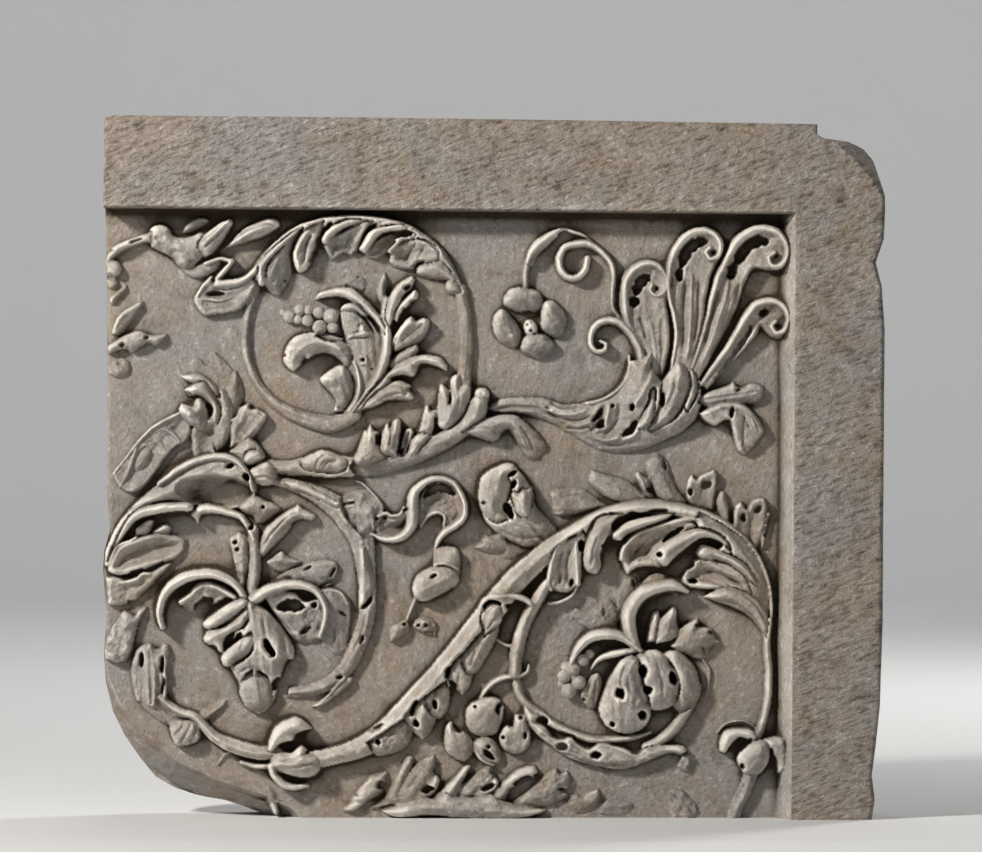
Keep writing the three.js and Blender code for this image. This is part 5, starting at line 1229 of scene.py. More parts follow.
def carve_bottom_leaves(relief):
    """The row of leaves that grows from the foot of the block."""
    fingers = [([342, 813, 362, 786, 372, 777, 387, 773, 382, 794, 372, 800, 356, 812], 12, (-0.25, -0.2)),
        ([366, 812, 384, 800, 404, 762, 413, 758, 412, 768, 404, 784, 398, 804], 9, (-0.15, -0.1)),
        ([392, 812, 400, 790, 412, 770, 424, 760, 434, 757, 434, 780, 412, 806], 11, (-0.1, -0.1)),
        ([412, 804, 436, 776, 440, 782, 437, 792, 428, 800], 14, (-0.1, -0.3)), ([430, 804, 456, 776,
        464, 768, 471, 767, 460, 790, 458, 804], 17, (-0.1, -0.2)), ([456, 802, 462, 786, 484, 769,
        492, 768, 494, 788, 470, 804], 12, (-0.1, -0.15)), ([470, 800, 496, 779, 499, 784, 494, 792,
        482, 800], 15, (-0.1, -0.3)), ([512, 806, 548, 774, 557, 770, 560, 776, 568, 773, 571, 780,
        569, 790, 562, 793, 570, 797, 544, 809], 12, (-0.05, -0.25)), ([482, 806, 510, 776, 524, 768,
        536, 767, 538, 775, 528, 784, 512, 790, 502, 804], 15, (-0.05, -0.35)), ([566, 808, 572, 799,
        578, 796, 582, 799, 590, 793, 600, 791, 601, 800, 592, 812, 578, 816], 8, (0.0, -0.3)), ([600, 816,
        604, 806, 612, 801, 632, 805, 634, 812, 622, 818], 5, (-0.1, -0.2)), ([669, 792, 676, 790, 686, 794,
        699, 809, 698, 819, 676, 820, 671, 808, 675, 801], 6, (-0.1, -0.1))]
    for outline, rise, lean in fingers:
        relief.slab(outline, rise, lean=lean)
    relief.drills([(4, -6, 378, 790, 384, 784), (4, -5, 422, 793, 434, 790), (3.4, -5, 482, 792, 494, 786),
        (4, -5, 514, 786, 532, 779), (1.5, 2, 356, 797), (2, 0, 434, 774, 434, 768), (2, 0, 492, 776,
        493, 770), (2, 0, 534, 780, 537, 776), (2, 0, 558, 791, 568, 792), (2.6, -2, 546, 810, 562, 806),
        (2, -1, 674, 798, 677, 801), (2, 0, 698, 808, 700, 812)])
    relief.slab([380, 812, 420, 800, 434, 800, 446, 794, 456, 799, 476, 799, 492, 796, 504, 803, 548, 812,
        520, 821, 470, 821, 430, 817, 400, 820], 21, lean=(0, -0.2))
    relief.grooves([(2, 3, 374, 806, 386, 794, 396, 778), (2, 2.5, 402, 800, 424, 768), (2, 3, 452, 800,
        464, 776), (2, 2.5, 472, 796, 490, 776), (2, 3, 520, 800, 534, 788, 552, 780), (2, 2.5, 536, 804,
        566, 790), (2, -3, 350, 803, 360, 790, 374, 779), (1.8, -3, 584, 800, 592, 795, 600, 793), (1.8, -2,
        620, 808, 626, 806, 634, 806), (2, -3, 698, 802, 703, 798), (2, 3, 462, 798, 480, 798)])
    relief.roughen([(456, 810, 60, 10, 0, 2.4), (552, 792, 20, 16, -20, 2.4), (686, 806, 18, 16, 0, 4),
        (300, 815, 40, 8, 0, 2)])
    relief.band([268, 792, 274, 815], (8, 6), (4, 3))


CARVING = (
    carve_second_stem,
    carve_upper_left_scroll,
    carve_upper_left_leaf,
    carve_bird,
    carve_scroll_end,
    carve_left_edge_leaves,
    carve_top_flower,
    carve_upper_right_fronds,
    carve_frond_sheath,
    carve_middle_branch,
    carve_left_calyx,
    carve_lower_left_scroll,
    carve_scroll_leaves,
    carve_big_leaf,
    carve_lower_left_stem,
    carve_leaves_over_stem,
    carve_right_stems,
    carve_main_stem,
    carve_lower_right_scroll,
    carve_inner_flower,
    carve_lower_left_collar,
    carve_ribbon_and_bud,
    carve_lower_flower,
    carve_lower_right_collar,
    carve_bottom_leaves,
)


# The block round the carving


def beyond(side, x, y):
    """How far points lie past a broken line, to the left of it as it is walked."""
    points = np.array(side, float)
    best = np.full(x.shape, np.inf)
    signed = np.zeros(x.shape)
    for a, b in zip(points[:-1], points[1:]):
        run = b - a
        share = np.clip(((x - a[0]) * run[0] + (y - a[1]) * run[1]) / (run @ run), 0, 1)
        dx = x - a[0] - share * run[0]
        dy = y - a[1] - share * run[1]
        off = np.hypot(dx, dy)
        closer = off < best
        best = np.where(closer, off, best)
        signed = np.where(closer, np.where(run[0] * dy - run[1] * dx > 0, -off, off), signed)
    return signed


def worn_edge(distance, radius):
    """How much a worn arris has lost at a distance from the edge."""
    inside = np.clip(radius - distance, 0, None)
    return radius - np.sqrt(np.clip(radius ** 2 - inside ** 2, 0, None))


DEEPEST_CUT = -12.0
SOFTENING = 0.6
CARVED = 1.0
BREAK_REACH = 330.0
DEEPEST_BREAK = -66.0


def band_level(relief):
    """The heights of the plain bands and of the slope at the right, and which points are on a band."""
    x, y = relief.x, relief.y
    foot = x[:, relief.foot_column][:, None]
    bevel = relief.bevel + 2.0 * lattice_noise(0 * x, y, 70.0, 41)
    slope = relief.band_rise * (1 - (foot - x) / bevel)
    level = np.clip(slope, 0, relief.band_rise)
    level[:relief.soffit_row + 1] = relief.band_rise
    on_band = level >= relief.band_rise - 1e-6
    relief.tooling = smooth_step(level, 0.9 * relief.band_rise, relief.band_rise)
    rough = 0.55 * cloud_noise(x, y, 48.0, 63) + 0.3 * cloud_noise(x, y, 9.0, 64)
    return np.where(on_band, level - 0.9 + np.clip(rough, -1.5, 0.85), level), on_band


def lost_at_edges(relief, on_band):
    """How much the outer edges and the lower edge of the top band have worn away."""
    x, y = relief.x, relief.y
    edge = np.minimum(x - x[:, :1], x[:, -1:] - x)
    edge = np.minimum(edge, y - y[:1])
    radius = 3.2 + 2.2 * cloud_noise(x, y, 26.0, 71)
    lost = np.where(edge < radius, worn_edge(edge, radius), 0)
    near_soffit = on_band & (x < SHEET_BAND) & (y[relief.soffit_row] - y < 1.6)
    return lost + np.where(near_soffit, 0.7 + 0.8 * np.clip(cloud_noise(x, y, 11.0, 72), 0, 1), 0)


def chip_corner(relief, height, on_band):
    """Takes the chip off the upper right corner."""
    x, y = relief.x, relief.y
    past = beyond(CHIP_SIDE, x, y)
    facets = 2.6 * cloud_noise(x, y, 15.0, 81)
    chipped = relief.band_rise - 1.4 * np.clip(past, 0, None) - 0.05 * np.clip(past, 0, None) ** 2 + facets
    return np.where((past > 0) & on_band, np.minimum(height, chipped), height)


def break_corner(relief, height):
    """Breaks the stone away towards the lower left, where nothing is carved."""
    x, y = relief.x, relief.y
    past = beyond(BREAK_SIDE[::-1], x, y)
    shards = 3.4 * cloud_noise(x, y, 17.0, 91) + 1.4 * cloud_noise(x, y, 5.0, 92)
    fall = np.maximum(-2.6 * np.clip(past, 0, None), DEEPEST_BREAK) + shards * smooth_step(past, -2, 10)
    bare = relief.height < CARVED
    return np.where((past > -3) & bare & (x < BREAK_REACH), np.minimum(height, fall), height)


def shape_block(relief):
    """Softens the carving and gives the block its bands, its breaks and the wear of its surface."""
    x, y = relief.x, relief.y
    relief.height = np.maximum(relief.height, DEEPEST_CUT)
    relief.height = (1 - SOFTENING) * relief.height + SOFTENING * box_blur(relief.height, 1)
    level, on_band = band_level(relief)
    height = np.maximum(relief.height, level) - lost_at_edges(relief, on_band)
    height = chip_corner(relief, height, on_band)
    height = break_corner(relief, height)
    worn = 0.5 * cloud_noise(x, y, 8.0, 101, 2) + 0.25 * lattice_noise(x, y, 2.8, 102)
    height += np.where(relief.height > CARVED, worn, 0.6 * worn * (level < CARVED))
    relief.height = np.clip(height, -(HIGH.y - LOW.y) / MM + relief.band_rise + 8, relief.band_rise - 0.05)


def read_patina_and_painted_light(relief):
    """Where the stone is rubbed pale and where dirt lies, from the shape of the carving. The darkening of the
    hollows is partly that dirt and partly painted shade, and the paleness of raised forms is partly a painted
    highlight.
    """
    height = np.maximum(relief.height, DEEPEST_CUT)
    close = box_blur(height, 2)
    middle = box_blur(box_blur(height, 5), 3)
    wide = box_blur(box_blur(height, 14), 8)
    ridge = smooth_step(height - close, 0.6, 3.5) * 0.35 + smooth_step(height - middle, 1.0, 9.0) * 0.95
    patchy = 0.75 + 0.45 * cloud_noise(relief.x, relief.y, 22.0, 131)
    # Partly a painted highlight: raised forms are made paler overall, standing in for their lit sides as well
    # as for the rubbing they have had.
    ridge += smooth_step(height, 3.0, 22.0) * (1 - relief.tooling) * 0.3
    # Painted shade and real dirt: points that lie below their blurred surroundings are darkened, standing in
    # for the shadow under undercuts as well as for the brown dirt that lies in the hollows.
    recess = smooth_step(middle - height, 1.5, 8.0) * 0.9 + smooth_step(wide - height, 3.5, 13.0)
    recess += smooth_step(close - height, 0.8, 4.0) * 0.25
    relief.ridge = np.clip(ridge * patchy * (1 - 0.85 * relief.tooling), 0, 1)
    relief.recess = np.clip(recess, 0, 1) * (1 - 0.8 * relief.tooling)


# Meshes from the grid


INSIDE = 0.0001


def model_places(x, y, height):
    """Places of the sheet in the model, in metres, with heights in millimetres in front of the field."""
    scale_x = (HIGH.x - LOW.x) / (SHEET_RIGHT - SHEET_LEFT)
    scale_z = (HIGH.z - LOW.z) / (SHEET_BOTTOM - SHEET_TOP)
    field = LOW.y + bpy.context.scene.block_sizes.band_rise
    return np.stack([LOW.x + (x - SHEET_LEFT) * scale_x, field - height * MM,
                     LOW.z + (SHEET_BOTTOM - y) * scale_z], -1)


def model_points(relief):
    """The grid as points of the model, kept inside the solid's box."""
    points = model_places(relief.x, relief.y, relief.height)
    return np.clip(points, np.array(LOW) + [INSIDE, INSIDE, 0], np.array(HIGH) - INSIDE)


def unit(vectors):
    return vectors / np.maximum(np.linalg.norm(vectors, axis=-1, keepdims=True), 1e-12)


def front_normals(points):
    down = np.gradient(points, axis=0)
    right = np.gradient(points, axis=1)
    return unit(np.cross(down, right))


def rim_of(rows, columns):
    """Grid places round a tile, down its left side first."""
    r0, r1 = rows
    c0, c1 = columns
    places = [(j, c0) for j in range(r0, r1)]
    places += [(r1, i) for i in range(c0, c1)]
    places += [(j, c1) for j in range(r1, r0, -1)]
    places += [(r0, i) for i in range(c1, c0, -1)]
    return np.array(places)


WALL_SHARES = (0.0, 0.5, 1.0)
ARRIS = 0.0015
# Even values on the walls of the tiles: the recess value darkens them a little, as painted shade and dirt.
WALL_PATINA_AND_SHADE = {"ridge": 0.05, "recess": 0.15, "tooling": 0.3}


def wall_points(points, rim):
    """Rings of points from the rim of a tile to the back, roughly dressed on the outer sides."""
    last_column = points.shape[1] - 1
    front = points[rim[:, 0], rim[:, 1]]
    inward_x = (rim[:, 1] == 0) * 1.0 - (rim[:, 1] == last_column) * 1.0
    inward_z = (rim[:, 0] == 0) * -1.0
    back = HIGH.y - INSIDE
    depth = back - front[:, 1]
    rings = []
    offsets = [ARRIS + share * np.maximum(depth - 2 * ARRIS, 0.001) for share in WALL_SHARES] + [depth]
    for k, offset in enumerate(offsets):
        ring = front.copy()
        ring[:, 1] += offset
        where = ring / MM
        amount = 1.1 + 1.0 * cloud_noise(where[:, 0] + where[:, 2], where[:, 1] * 1.7, 30.0, 121)
        amount = np.clip(amount, 0.2, 2.4) * MM
        if k == len(offsets) - 1:
            amount = amount + ARRIS
        if k == 0:
            amount = 0.4 * amount
        ring[:, 0] += inward_x * amount
        ring[:, 2] += inward_z * amount
        rings.append(ring)
    return np.stack(rings)


def tile_mesh(name, relief, points, normals, rows, columns):
    """One closed piece of the block: its part of the carved front, walls to the back, and the back."""
    r0, r1 = rows
    c0, c1 = columns
    wide = c1 - c0 + 1
    tall = r1 - r0 + 1
    front = points[r0:r1 + 1, c0:c1 + 1].reshape(-1, 3)
    rim = rim_of(rows, columns)
    rings = wall_points(points, rim)
    around = len(rim)
    places = np.vstack([front, rings.reshape(-1, 3)])

    grid = np.arange(wide * tall).reshape(tall, wide)
    quads = [np.stack([grid[:-1, :-1], grid[1:, :-1], grid[1:, 1:], grid[:-1, 1:]], -1).reshape(-1, 4)]
    ring = grid[rim[:, 0] - r0, rim[:, 1] - c0]
    for level in range(len(rings)):
        lower = wide * tall + level * around + np.arange(around)
        quads.append(np.stack([ring, lower, np.roll(lower, -1), np.roll(ring, -1)], -1))
        ring = lower
    quads = np.vstack(quads)
    back = ring[::-1]

    wall = np.vstack([points[rim[:, 0], rim[:, 1]][None], rings])
    onward = np.roll(wall, -1, axis=1) - np.roll(wall, 1, axis=1)
    backward = np.gradient(wall, axis=0)
    wall_normals = unit(np.cross(backward, onward))
    wall_normals[-1] = (0.0, 1.0, 0.0)
    all_normals = np.vstack([normals[r0:r1 + 1, c0:c1 + 1].reshape(-1, 3), wall_normals[1:].reshape(-1, 3)])

    mesh = bpy.data.meshes.new(name)
    mesh.vertices.add(len(places))
    mesh.vertices.foreach_set("co", places.astype(np.float32).ravel())
    corners = np.concatenate([quads.ravel(), back])
    mesh.loops.add(len(corners))
    mesh.loops.foreach_set("vertex_index", corners.astype(np.int32))
    mesh.polygons.add(len(quads) + 1)
    mesh.polygons.foreach_set("loop_start", (np.arange(len(quads) + 1) * 4).astype(np.int32))
    mesh.update(calc_edges=True)

    # The wear, the painted shade and dirt of the hollows, and the tooling are stored on the points.
    for label, values in (("ridge", relief.ridge), ("recess", relief.recess), ("tooling", relief.tooling)):
        layer = mesh.attributes.new(label, "FLOAT", "POINT")
        here = values[r0:r1 + 1, c0:c1 + 1].ravel()
        on_walls = np.full(len(rings) * around, WALL_PATINA_AND_SHADE[label])
        layer.data.foreach_set("value", np.concatenate([here, on_walls]).astype(np.float32))
    mesh.normals_split_custom_set_from_vertices(all_normals.astype(np.float32))
    return mesh


def add_piece(name, mesh, material):
    """A finished piece of the stone: dressed, riding on the block and standing for its solid."""
    piece = bpy.data.objects.new(name, mesh)
    bpy.context.scene.collection.objects.link(piece)
    mesh.materials.clear()
    mesh.materials.append(material)
    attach(piece, "root")
    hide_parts(NODE)
    return piece


# Shader maths on sockets


class Wire:
    """A socket of a node tree that can be used in sums."""

    def __init__(self, tree, socket):
        self.tree = tree
        self.socket = socket

    def math(self, operation, *others, clamp=False):
        node = self.tree.nodes.new("ShaderNodeMath")
        node.operation = operation
        node.use_clamp = clamp
        for slot, value in zip(node.inputs, (self,) + others):
            if isinstance(value, Wire):
                self.tree.links.new(value.socket, slot)
            else:
                slot.default_value = value
        return Wire(self.tree, node.outputs[0])

    def __add__(self, other):
        return self.math("ADD", other)

    def __radd__(self, other):
        return self.math("ADD", other)

    def __sub__(self, other):
        return self.math("SUBTRACT", other)

    def __rsub__(self, other):
        return self.math("MULTIPLY", -1.0).math("ADD", other)

    def __mul__(self, other):
        return self.math("MULTIPLY", other)

    def __rmul__(self, other):
        return self.math("MULTIPLY", other)

    def clamped(self):
        return self.math("ADD", 0.0, clamp=True)


class Tree:
    """A node tree, with one method for every kind of node."""

    def __init__(self, tree):
        self.tree = tree
        self.tree.nodes.clear()

    def node(self, kind, settings=None, inputs=None):
        made = self.tree.nodes.new(kind)
        for name, value in (settings or {}).items():
            setattr(made, name, value)
        for name, value in (inputs or {}).items():
            socket = made.inputs[name]
            if isinstance(value, Wire):
                self.tree.links.new(value.socket, socket)
            else:
                socket.default_value = value
        return made

    def wire(self, node, output=0):
        return Wire(self.tree, node.outputs[output])

    def attribute(self, name):
        return self.wire(self.node("ShaderNodeAttribute", {"attribute_name": name}), "Fac")

    def noise(self, place, scale, detail=4.0, roughness=0.55):
        return self.wire(self.node("ShaderNodeTexNoise", None, {
            "Vector": place, "Scale": scale, "Detail": detail, "Roughness": roughness}), 0)

    def ramp(self, value, low, high):
        return self.wire(self.node("ShaderNodeMapRange", {"interpolation_type": "SMOOTHSTEP"}, {
            "Value": value, "From Min": low, "From Max": high}), 0)

    def mix(self, share, first, second):
        """Two colours mixed, the first of them where the share is 0."""
        shades = [shade if isinstance(shade, Wire) else (*shade, 1.0) for shade in (first, second)]
        mixed = self.node("ShaderNodeMix", {"data_type": "RGBA"}, {0: share, 6: shades[0], 7: shades[1]})
        return self.wire(mixed, 2)


def new_material(name):
    material = bpy.data.materials.new(name)
    material.use_nodes = True
    return material, Tree(material.node_tree)


STROKE_ANGLE = -18.0
STROKE_SCALE = (0.014, 0.014, 0.0042)


def marble_material(look):
    """Weathered marble: grey-beige, pale where it is rubbed and, as a painted highlight, on its raised forms;
    brown where dirt lies and dark as painted shade in its hollows; tooled on its bands.
    """
    material, tree = new_material("weathered_marble")
    place = tree.wire(tree.node("ShaderNodeTexCoord"), "Object")
    ridge = tree.attribute("ridge")
    recess = tree.attribute("recess")
    tooling = tree.attribute("tooling")
    clouds = tree.noise(place, 6.0, 5.0, 0.6)
    stains = tree.noise(place, 15.0, 6.0, 0.68)
    blotches = tree.noise(place, 48.0, 5.0, 0.65)
    grain = tree.noise(place, 190.0, 4.0, 0.65)
    speckle = tree.noise(place, 520.0, 3.0, 0.6)
    turned = tree.node("ShaderNodeMapping", {"vector_type": "TEXTURE"}, {
        "Vector": place, "Rotation": (0.0, math.radians(STROKE_ANGLE), 0.0), "Scale": STROKE_SCALE})
    strokes = tree.noise(tree.wire(turned), 1.0, 2.0, 0.6)

    colour = tree.mix(tree.ramp(clouds, 0.4, 0.62) * 0.6, look.body, look.vein)
    colour = tree.mix(tree.ramp(stains, 0.52, 0.68) * 0.5, colour, look.ochre)
    # The pale mix: real rubbed wear, with the paleness of raised forms partly a painted highlight; the
    # hollows are kept out of it as painted shade.
    pale = (ridge * 1.2 + tree.ramp(blotches, 0.5, 0.72) * 0.22 + tree.ramp(grain, 0.52, 0.7) * 0.34
            - recess * 0.6)
    colour = tree.mix((pale - 0.08).clamped(), colour, look.worn)
    # Painted shade and real marks: the hollows are darkened as shade as well as dirt, together with random
    # blotches, grain and tool strokes.
    dirt_and_painted_shade = (recess * 1.05 + tree.ramp(blotches, 0.5, 0.32) * 0.35 + tree.ramp(grain, 0.46, 0.3) * 0.3
            + tooling * tree.ramp(strokes, 0.5, 0.36) * 0.45 - ridge * 0.5)
    colour = tree.mix((dirt_and_painted_shade * 0.92).clamped(), colour, look.stain_and_shade)
    colour = tree.mix(tree.ramp(speckle, 0.6, 0.74) * 0.4, colour, look.stain_and_shade)

    relief_noise = grain * 1.0 + speckle * 0.45 + blotches * 1.0 + tooling * strokes * 1.8
    bump = tree.node("ShaderNodeBump", None, {"Strength": 1.0, "Distance": 0.002, "Height": relief_noise})
    surface = tree.node("ShaderNodeBsdfPrincipled", None, {
        "Base Color": colour,
        "Roughness": (0.82 - ridge * 0.14 + recess * 0.08).clamped(),
        "Normal": tree.wire(bump, 0),
    })
    surface.inputs["Specular IOR Level"].default_value = 0.25
    tree.node("ShaderNodeOutputMaterial", None, {"Surface": tree.wire(surface, 0)})
    return material


def stage_material(look):
    """A plain pale matt finish for the floor and backdrop."""
    material, tree = new_material("pale_stage")
    surface = tree.node("ShaderNodeBsdfPrincipled", None, {
        "Base Color": (*look.floor, 1.0), "Roughness": 0.9})
    tree.node("ShaderNodeOutputMaterial", None, {"Surface": tree.wire(surface, 0)})
    return material


# Operators


def marble():
    return bpy.data.materials.get("weathered_marble") or marble_material(bpy.context.scene.marble_look)


def flat_mesh(name, points, attributes):
    """A mesh of loose points with numbers stored on them."""
    mesh = bpy.data.meshes.new(name)
    mesh.vertices.add(len(points))
    mesh.vertices.foreach_set("co", np.array(points, np.float32).ravel())
    for label, values in attributes.items():
        layer = mesh.attributes.new(label, "FLOAT", "POINT")
        layer.data.foreach_set("value", np.array(values, np.float32))
    return mesh


BALL_ROUNDS = 4
LUMP_SCALE = 130.0


def berry_tree(material):
    """Geometry Nodes that set a slightly uneven ball on every point, sized by its own number."""
    group = bpy.data.node_groups.new("berries", "GeometryNodeTree")
    for label, kind, way in (("Geometry", "NodeSocketGeometry", "INPUT"),
                             ("Unevenness", "NodeSocketFloat", "INPUT"),
                             ("Geometry", "NodeSocketGeometry", "OUTPUT")):
        group.interface.new_socket(label, in_out=way, socket_type=kind)
    tree = Tree(group)
    given = tree.node("NodeGroupInput")
    ball = tree.node("GeometryNodeMeshIcoSphere", None, {"Radius": 1.0, "Subdivisions": BALL_ROUNDS})
    radius = tree.node("GeometryNodeInputNamedAttribute", {"data_type": "FLOAT"}, {"Name": "radius"})
    placed = tree.node("GeometryNodeInstanceOnPoints", None, {
        "Points": tree.wire(given), "Instance": tree.wire(ball), "Scale": tree.wire(radius)})
    real = tree.node("GeometryNodeRealizeInstances", None, {"Geometry": tree.wire(placed)})
    noise = tree.node("ShaderNodeTexNoise", None, {"Scale": LUMP_SCALE, "Detail": 2.0})
    centred = tree.node("ShaderNodeVectorMath", {"operation": "SUBTRACT"}, {
        0: tree.wire(noise, "Color"), 1: (0.5, 0.5, 0.5)})
    lumps = tree.node("ShaderNodeVectorMath", {"operation": "SCALE"}, {
        0: tree.wire(centred), "Scale": tree.wire(given, "Unevenness")})
    shifted = tree.node("GeometryNodeSetPosition", None, {
        "Geometry": tree.wire(real), "Offset": tree.wire(lumps)})
    dressed = tree.node("GeometryNodeSetMaterial", None, {
        "Geometry": tree.wire(shifted), "Material": material})
    tree.node("NodeGroupOutput", None, {0: tree.wire(dressed)})
    return group


class RELIEF_OT_place_berries(bpy.types.Operator):
    """Set the berries of two clusters on the carving, as whole balls sunk into the stone"""

    bl_idname = "relief.place_berries"
    bl_label = "Berries"

    def execute(self, context):
        for name, berries in BERRIES.items():
            self.cluster(context, name, berries)
        return {"FINISHED"}

    def cluster(self, context, name, berries):
        x, y, radius, lift = np.array(berries, float).T
        points = model_places(x, y, lift)
        sizes = radius * MM
        seeds = bpy.data.objects.new(name + "_points", flat_mesh(name + "_points", points, {"radius": sizes}))
        context.scene.collection.objects.link(seeds)
        tree = berry_tree(marble())
        modifier = seeds.modifiers.new("berries", "NODES")
        modifier.node_group = tree
        socket = tree.interface.items_tree["Unevenness"].identifier
        modifier[socket] = UNEVENNESS
        made = seeds.evaluated_get(context.evaluated_depsgraph_get())
        mesh = bpy.data.meshes.new_from_object(made)
        bpy.data.objects.remove(seeds)
        mesh.name = name
        # Even values on the berries: rubbed pale a little, and darkened a little by the recess mask of
        # painted shade and dirt.
        for label, value in (("ridge", 0.34), ("recess", 0.12), ("tooling", 0.0)):
            layer = mesh.attributes.new(label, "FLOAT", "POINT")
            layer.data.foreach_set("value", np.full(len(mesh.vertices), value, np.float32))
        add_piece(name, mesh, marble())


def split_evenly(last, parts):
    edges = [round(k * last / parts) for k in range(parts + 1)]
    return list(zip(edges[:-1], edges[1:]))


class RELIEF_OT_carve_block(bpy.types.Operator):
    """Carve the front of the block and make it in closed tiles"""

    bl_idname = "relief.carve_block"
    bl_label = "Carved block"

    def execute(self, context):
        relief = Relief(context.scene.block_sizes)
        for carve in CARVING:
            carve(relief)
        shape_block(relief)
        read_patina_and_painted_light(relief)
        points = model_points(relief)
        normals = front_normals(points)
        material = marble()
        tall, wide = relief.x.shape
        names = iter(("bird_and_calyx", "scroll_and_flower", "fronds_and_corner", "leaf_scroll",
                      "stem_and_bud", "blossom_scroll"))
        for rows in split_evenly(tall - 1, 2):
            for columns in split_evenly(wide - 1, 3):
                name = "relief_" + next(names)
                add_piece(name, tile_mesh(name, relief, points, normals, rows, columns), material)
        return {"FINISHED"}


# Berries: place on the sheet, radius, and how far the middle stands in front of the field.
BERRIES = {
    "berries_in_leaf": [
        (288, 316, 6.2, 5), (299, 309, 5.6, 6), (308, 309.5, 5.2, 6), (318, 312, 6, 8), (330, 316, 7.6, 10),
        (307, 320, 6, 7), (319, 327, 7.4, 9), (332, 327, 5.6, 11), (297, 319, 4.8, 5), (282, 312, 3.6, 3),
    ],
    "berries_in_scroll": [
        (583, 661, 6, 14), (573, 669, 7.4, 13), (566, 668, 5.4, 8), (564.5, 677.5, 6.8, 10),
        (579, 683, 7.4, 10), (562, 685, 4.6, 6), (569, 692, 7.8, 9), (575, 677, 5, 9), (590, 655, 4.6, 11),
    ],
}
UNEVENNESS = 0.0016

FLOOR_RADIUS = 8.5
BACKDROP_BEND = 1.5
BACKDROP_HEIGHT = 8.0
BACKDROP_SIDES = 72

# The lights: where they stand, what they are aimed at, and their colours.
KEY_PLACE = (-2.15, -2.1, 2.0)
FILL_PLACE = (1.2, -4.2, 1.6)
BACK_PLACE = (2.6, 3.2, 2.6)
WALL_LIGHT_PLACE = (0.0, 3.0, 7.0)
WALL_MIDDLE = (0.0, 10.0, 2.5)
BLOCK_MIDDLE = (0.0, 0.0, 0.36)
WARM_LIGHT = (1.0, 0.96, 0.9)
COOL_LIGHT = (0.94, 0.97, 1.0)
PALE_LIGHT = (1.0, 0.98, 0.95)
WHITE_LIGHT = (1.0, 0.99, 0.97)
WORLD_COLOUR = (0.62, 0.66, 0.72, 1.0)
WORLD_STRENGTH = 0.005

# The camera and the picture it is meant for.
CAMERA_DISTANCE = 6.5
IMAGE_WIDTH = 982.0
IMAGE_HEIGHT = 852.0
SENSOR = 36.0


def aim(thing, at):
    direction = Vector(at) - thing.location
    thing.rotation_euler = direction.to_track_quat("-Z", "Y").to_euler()


def add_area_light(name, place, at, size, power, colour):
    data = bpy.data.lights.new(name, "AREA")
    data.shape = "DISK"
    data.size = size
    data.energy = power
    data.color = colour
    light = bpy.data.objects.new(name, data)
    light.location = place
    aim(light, at)
    bpy.context.scene.collection.objects.link(light)


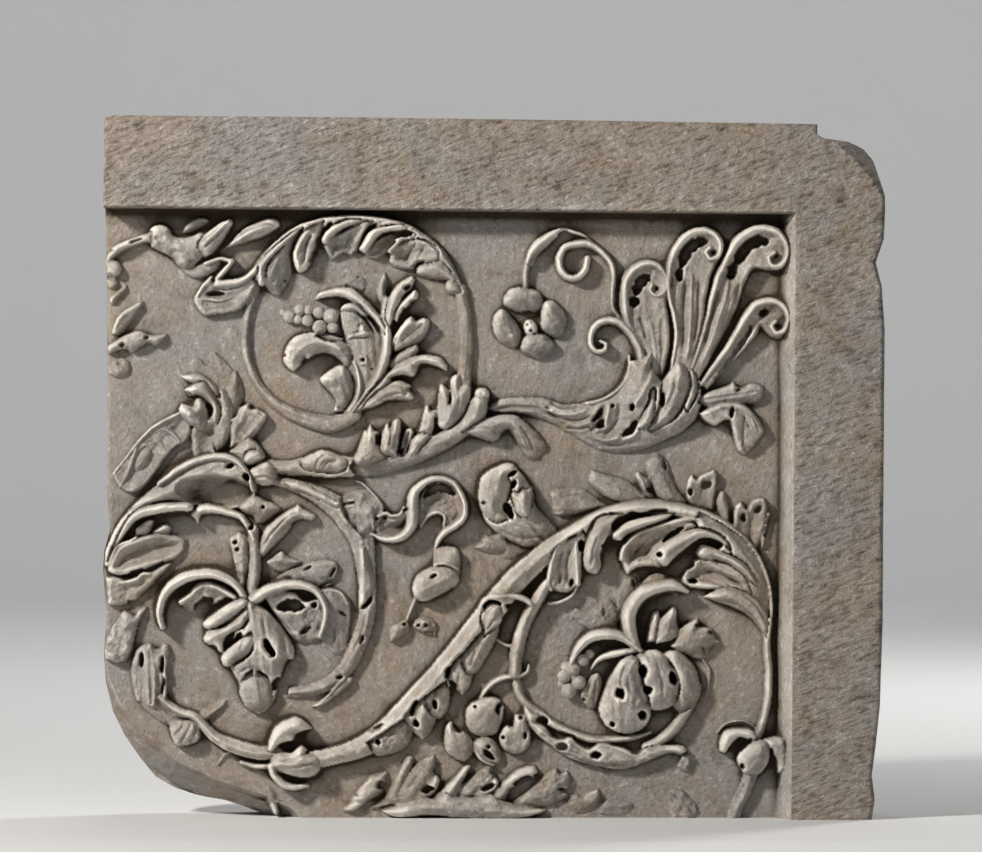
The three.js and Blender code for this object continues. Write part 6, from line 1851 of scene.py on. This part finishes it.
class RELIEF_OT_set_stage(bpy.types.Operator):
    """Set the pale floor and backdrop, the studio light and the camera"""

    bl_idname = "relief.set_stage"
    bl_label = "Stage"

    def execute(self, context):
        look = context.scene.stage_look
        self.add_floor(look)
        add_area_light("key_light", KEY_PLACE, BLOCK_MIDDLE, 0.4, look.key_power, WARM_LIGHT)
        add_area_light("fill_light", FILL_PLACE, BLOCK_MIDDLE, 2.0, look.fill_power, COOL_LIGHT)
        add_area_light("back_light", BACK_PLACE, BLOCK_MIDDLE, 1.2, look.back_power, PALE_LIGHT)
        add_area_light("wall_light", WALL_LIGHT_PLACE, WALL_MIDDLE, 2.0, look.wall_power, WHITE_LIGHT)
        world = bpy.data.worlds.new("studio")
        world.use_nodes = True
        back = world.node_tree.nodes["Background"]
        back.inputs["Color"].default_value = WORLD_COLOUR
        back.inputs["Strength"].default_value = WORLD_STRENGTH
        context.scene.world = world
        context.scene.view_settings.view_transform = "Standard"
        self.add_camera(context)
        return {"FINISHED"}

    def add_floor(self, look):
        """A round floor that curves up into a backdrop on every side."""
        bend = BACKDROP_BEND
        profile = [(FLOOR_RADIUS, 0.0)]
        profile += [(FLOOR_RADIUS + bend * math.sin(a), bend - bend * math.cos(a))
                    for a in np.linspace(0.1, math.pi / 2, 14)]
        profile += [(FLOOR_RADIUS + bend, BACKDROP_HEIGHT)]
        around = [2 * math.pi * k / BACKDROP_SIDES for k in range(BACKDROP_SIDES)]
        vertices = [(radius * math.cos(a), radius * math.sin(a), z) for radius, z in profile for a in around]
        faces = [tuple(range(BACKDROP_SIDES))]
        for ring in range(len(profile) - 1):
            for k in range(BACKDROP_SIDES):
                here = ring * BACKDROP_SIDES + k
                onward = ring * BACKDROP_SIDES + (k + 1) % BACKDROP_SIDES
                faces.append((onward, here, here + BACKDROP_SIDES, onward + BACKDROP_SIDES))
        mesh = bpy.data.meshes.new("floor")
        mesh.from_pydata(vertices, [], faces)
        mesh.materials.append(stage_material(look))
        mesh.shade_smooth()
        floor = bpy.data.objects.new("floor", mesh)
        bpy.context.scene.collection.objects.link(floor)

    def add_camera(self, context):
        data = bpy.data.cameras.new("camera")
        data.sensor_width = SENSOR
        data.lens = SENSOR * CAMERA_DISTANCE / (IMAGE_WIDTH * MM)
        camera = bpy.data.objects.new("camera", data)
        x = (IMAGE_WIDTH / 2 - SHEET_LEFT) * MM + LOW.x
        z = (SHEET_BOTTOM - IMAGE_HEIGHT / 2) * MM + LOW.z
        camera.location = (x, LOW.y - CAMERA_DISTANCE, z)
        camera.rotation_euler = (math.pi / 2, 0.0, 0.0)
        data.clip_end = 100.0
        context.scene.collection.objects.link(camera)
        context.scene.camera = camera


class RELIEF_PT_panel(bpy.types.Panel):
    """Shows the settings of the relief block and the buttons that make its pieces"""

    bl_idname = "RELIEF_PT_panel"
    bl_label = "Marble relief block"
    bl_space_type = "VIEW_3D"
    bl_region_type = "UI"
    bl_category = "Relief"

    def draw(self, context):
        for group in (context.scene.block_sizes, context.scene.marble_look, context.scene.stage_look):
            for name in group.__annotations__:
                self.layout.prop(group, name)
        for operator in OPERATORS:
            self.layout.operator(operator.bl_idname)


OPERATORS = (RELIEF_OT_carve_block, RELIEF_OT_place_berries, RELIEF_OT_set_stage)
CLASSES = (BlockSizes, MarbleLook, StageLook, *OPERATORS, RELIEF_PT_panel)


def register():
    for item in CLASSES:
        bpy.utils.register_class(item)
    bpy.types.Scene.block_sizes = bpy.props.PointerProperty(type=BlockSizes)
    bpy.types.Scene.marble_look = bpy.props.PointerProperty(type=MarbleLook)
    bpy.types.Scene.stage_look = bpy.props.PointerProperty(type=StageLook)


def unregister():
    del bpy.types.Scene.block_sizes
    del bpy.types.Scene.marble_look
    del bpy.types.Scene.stage_look
    for item in reversed(CLASSES):
        bpy.utils.unregister_class(item)


def main():
    register()
    bpy.ops.relief.carve_block()
    bpy.ops.relief.place_berries()
    bpy.ops.relief.set_stage()
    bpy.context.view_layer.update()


if __name__ == "__main__":
    main()
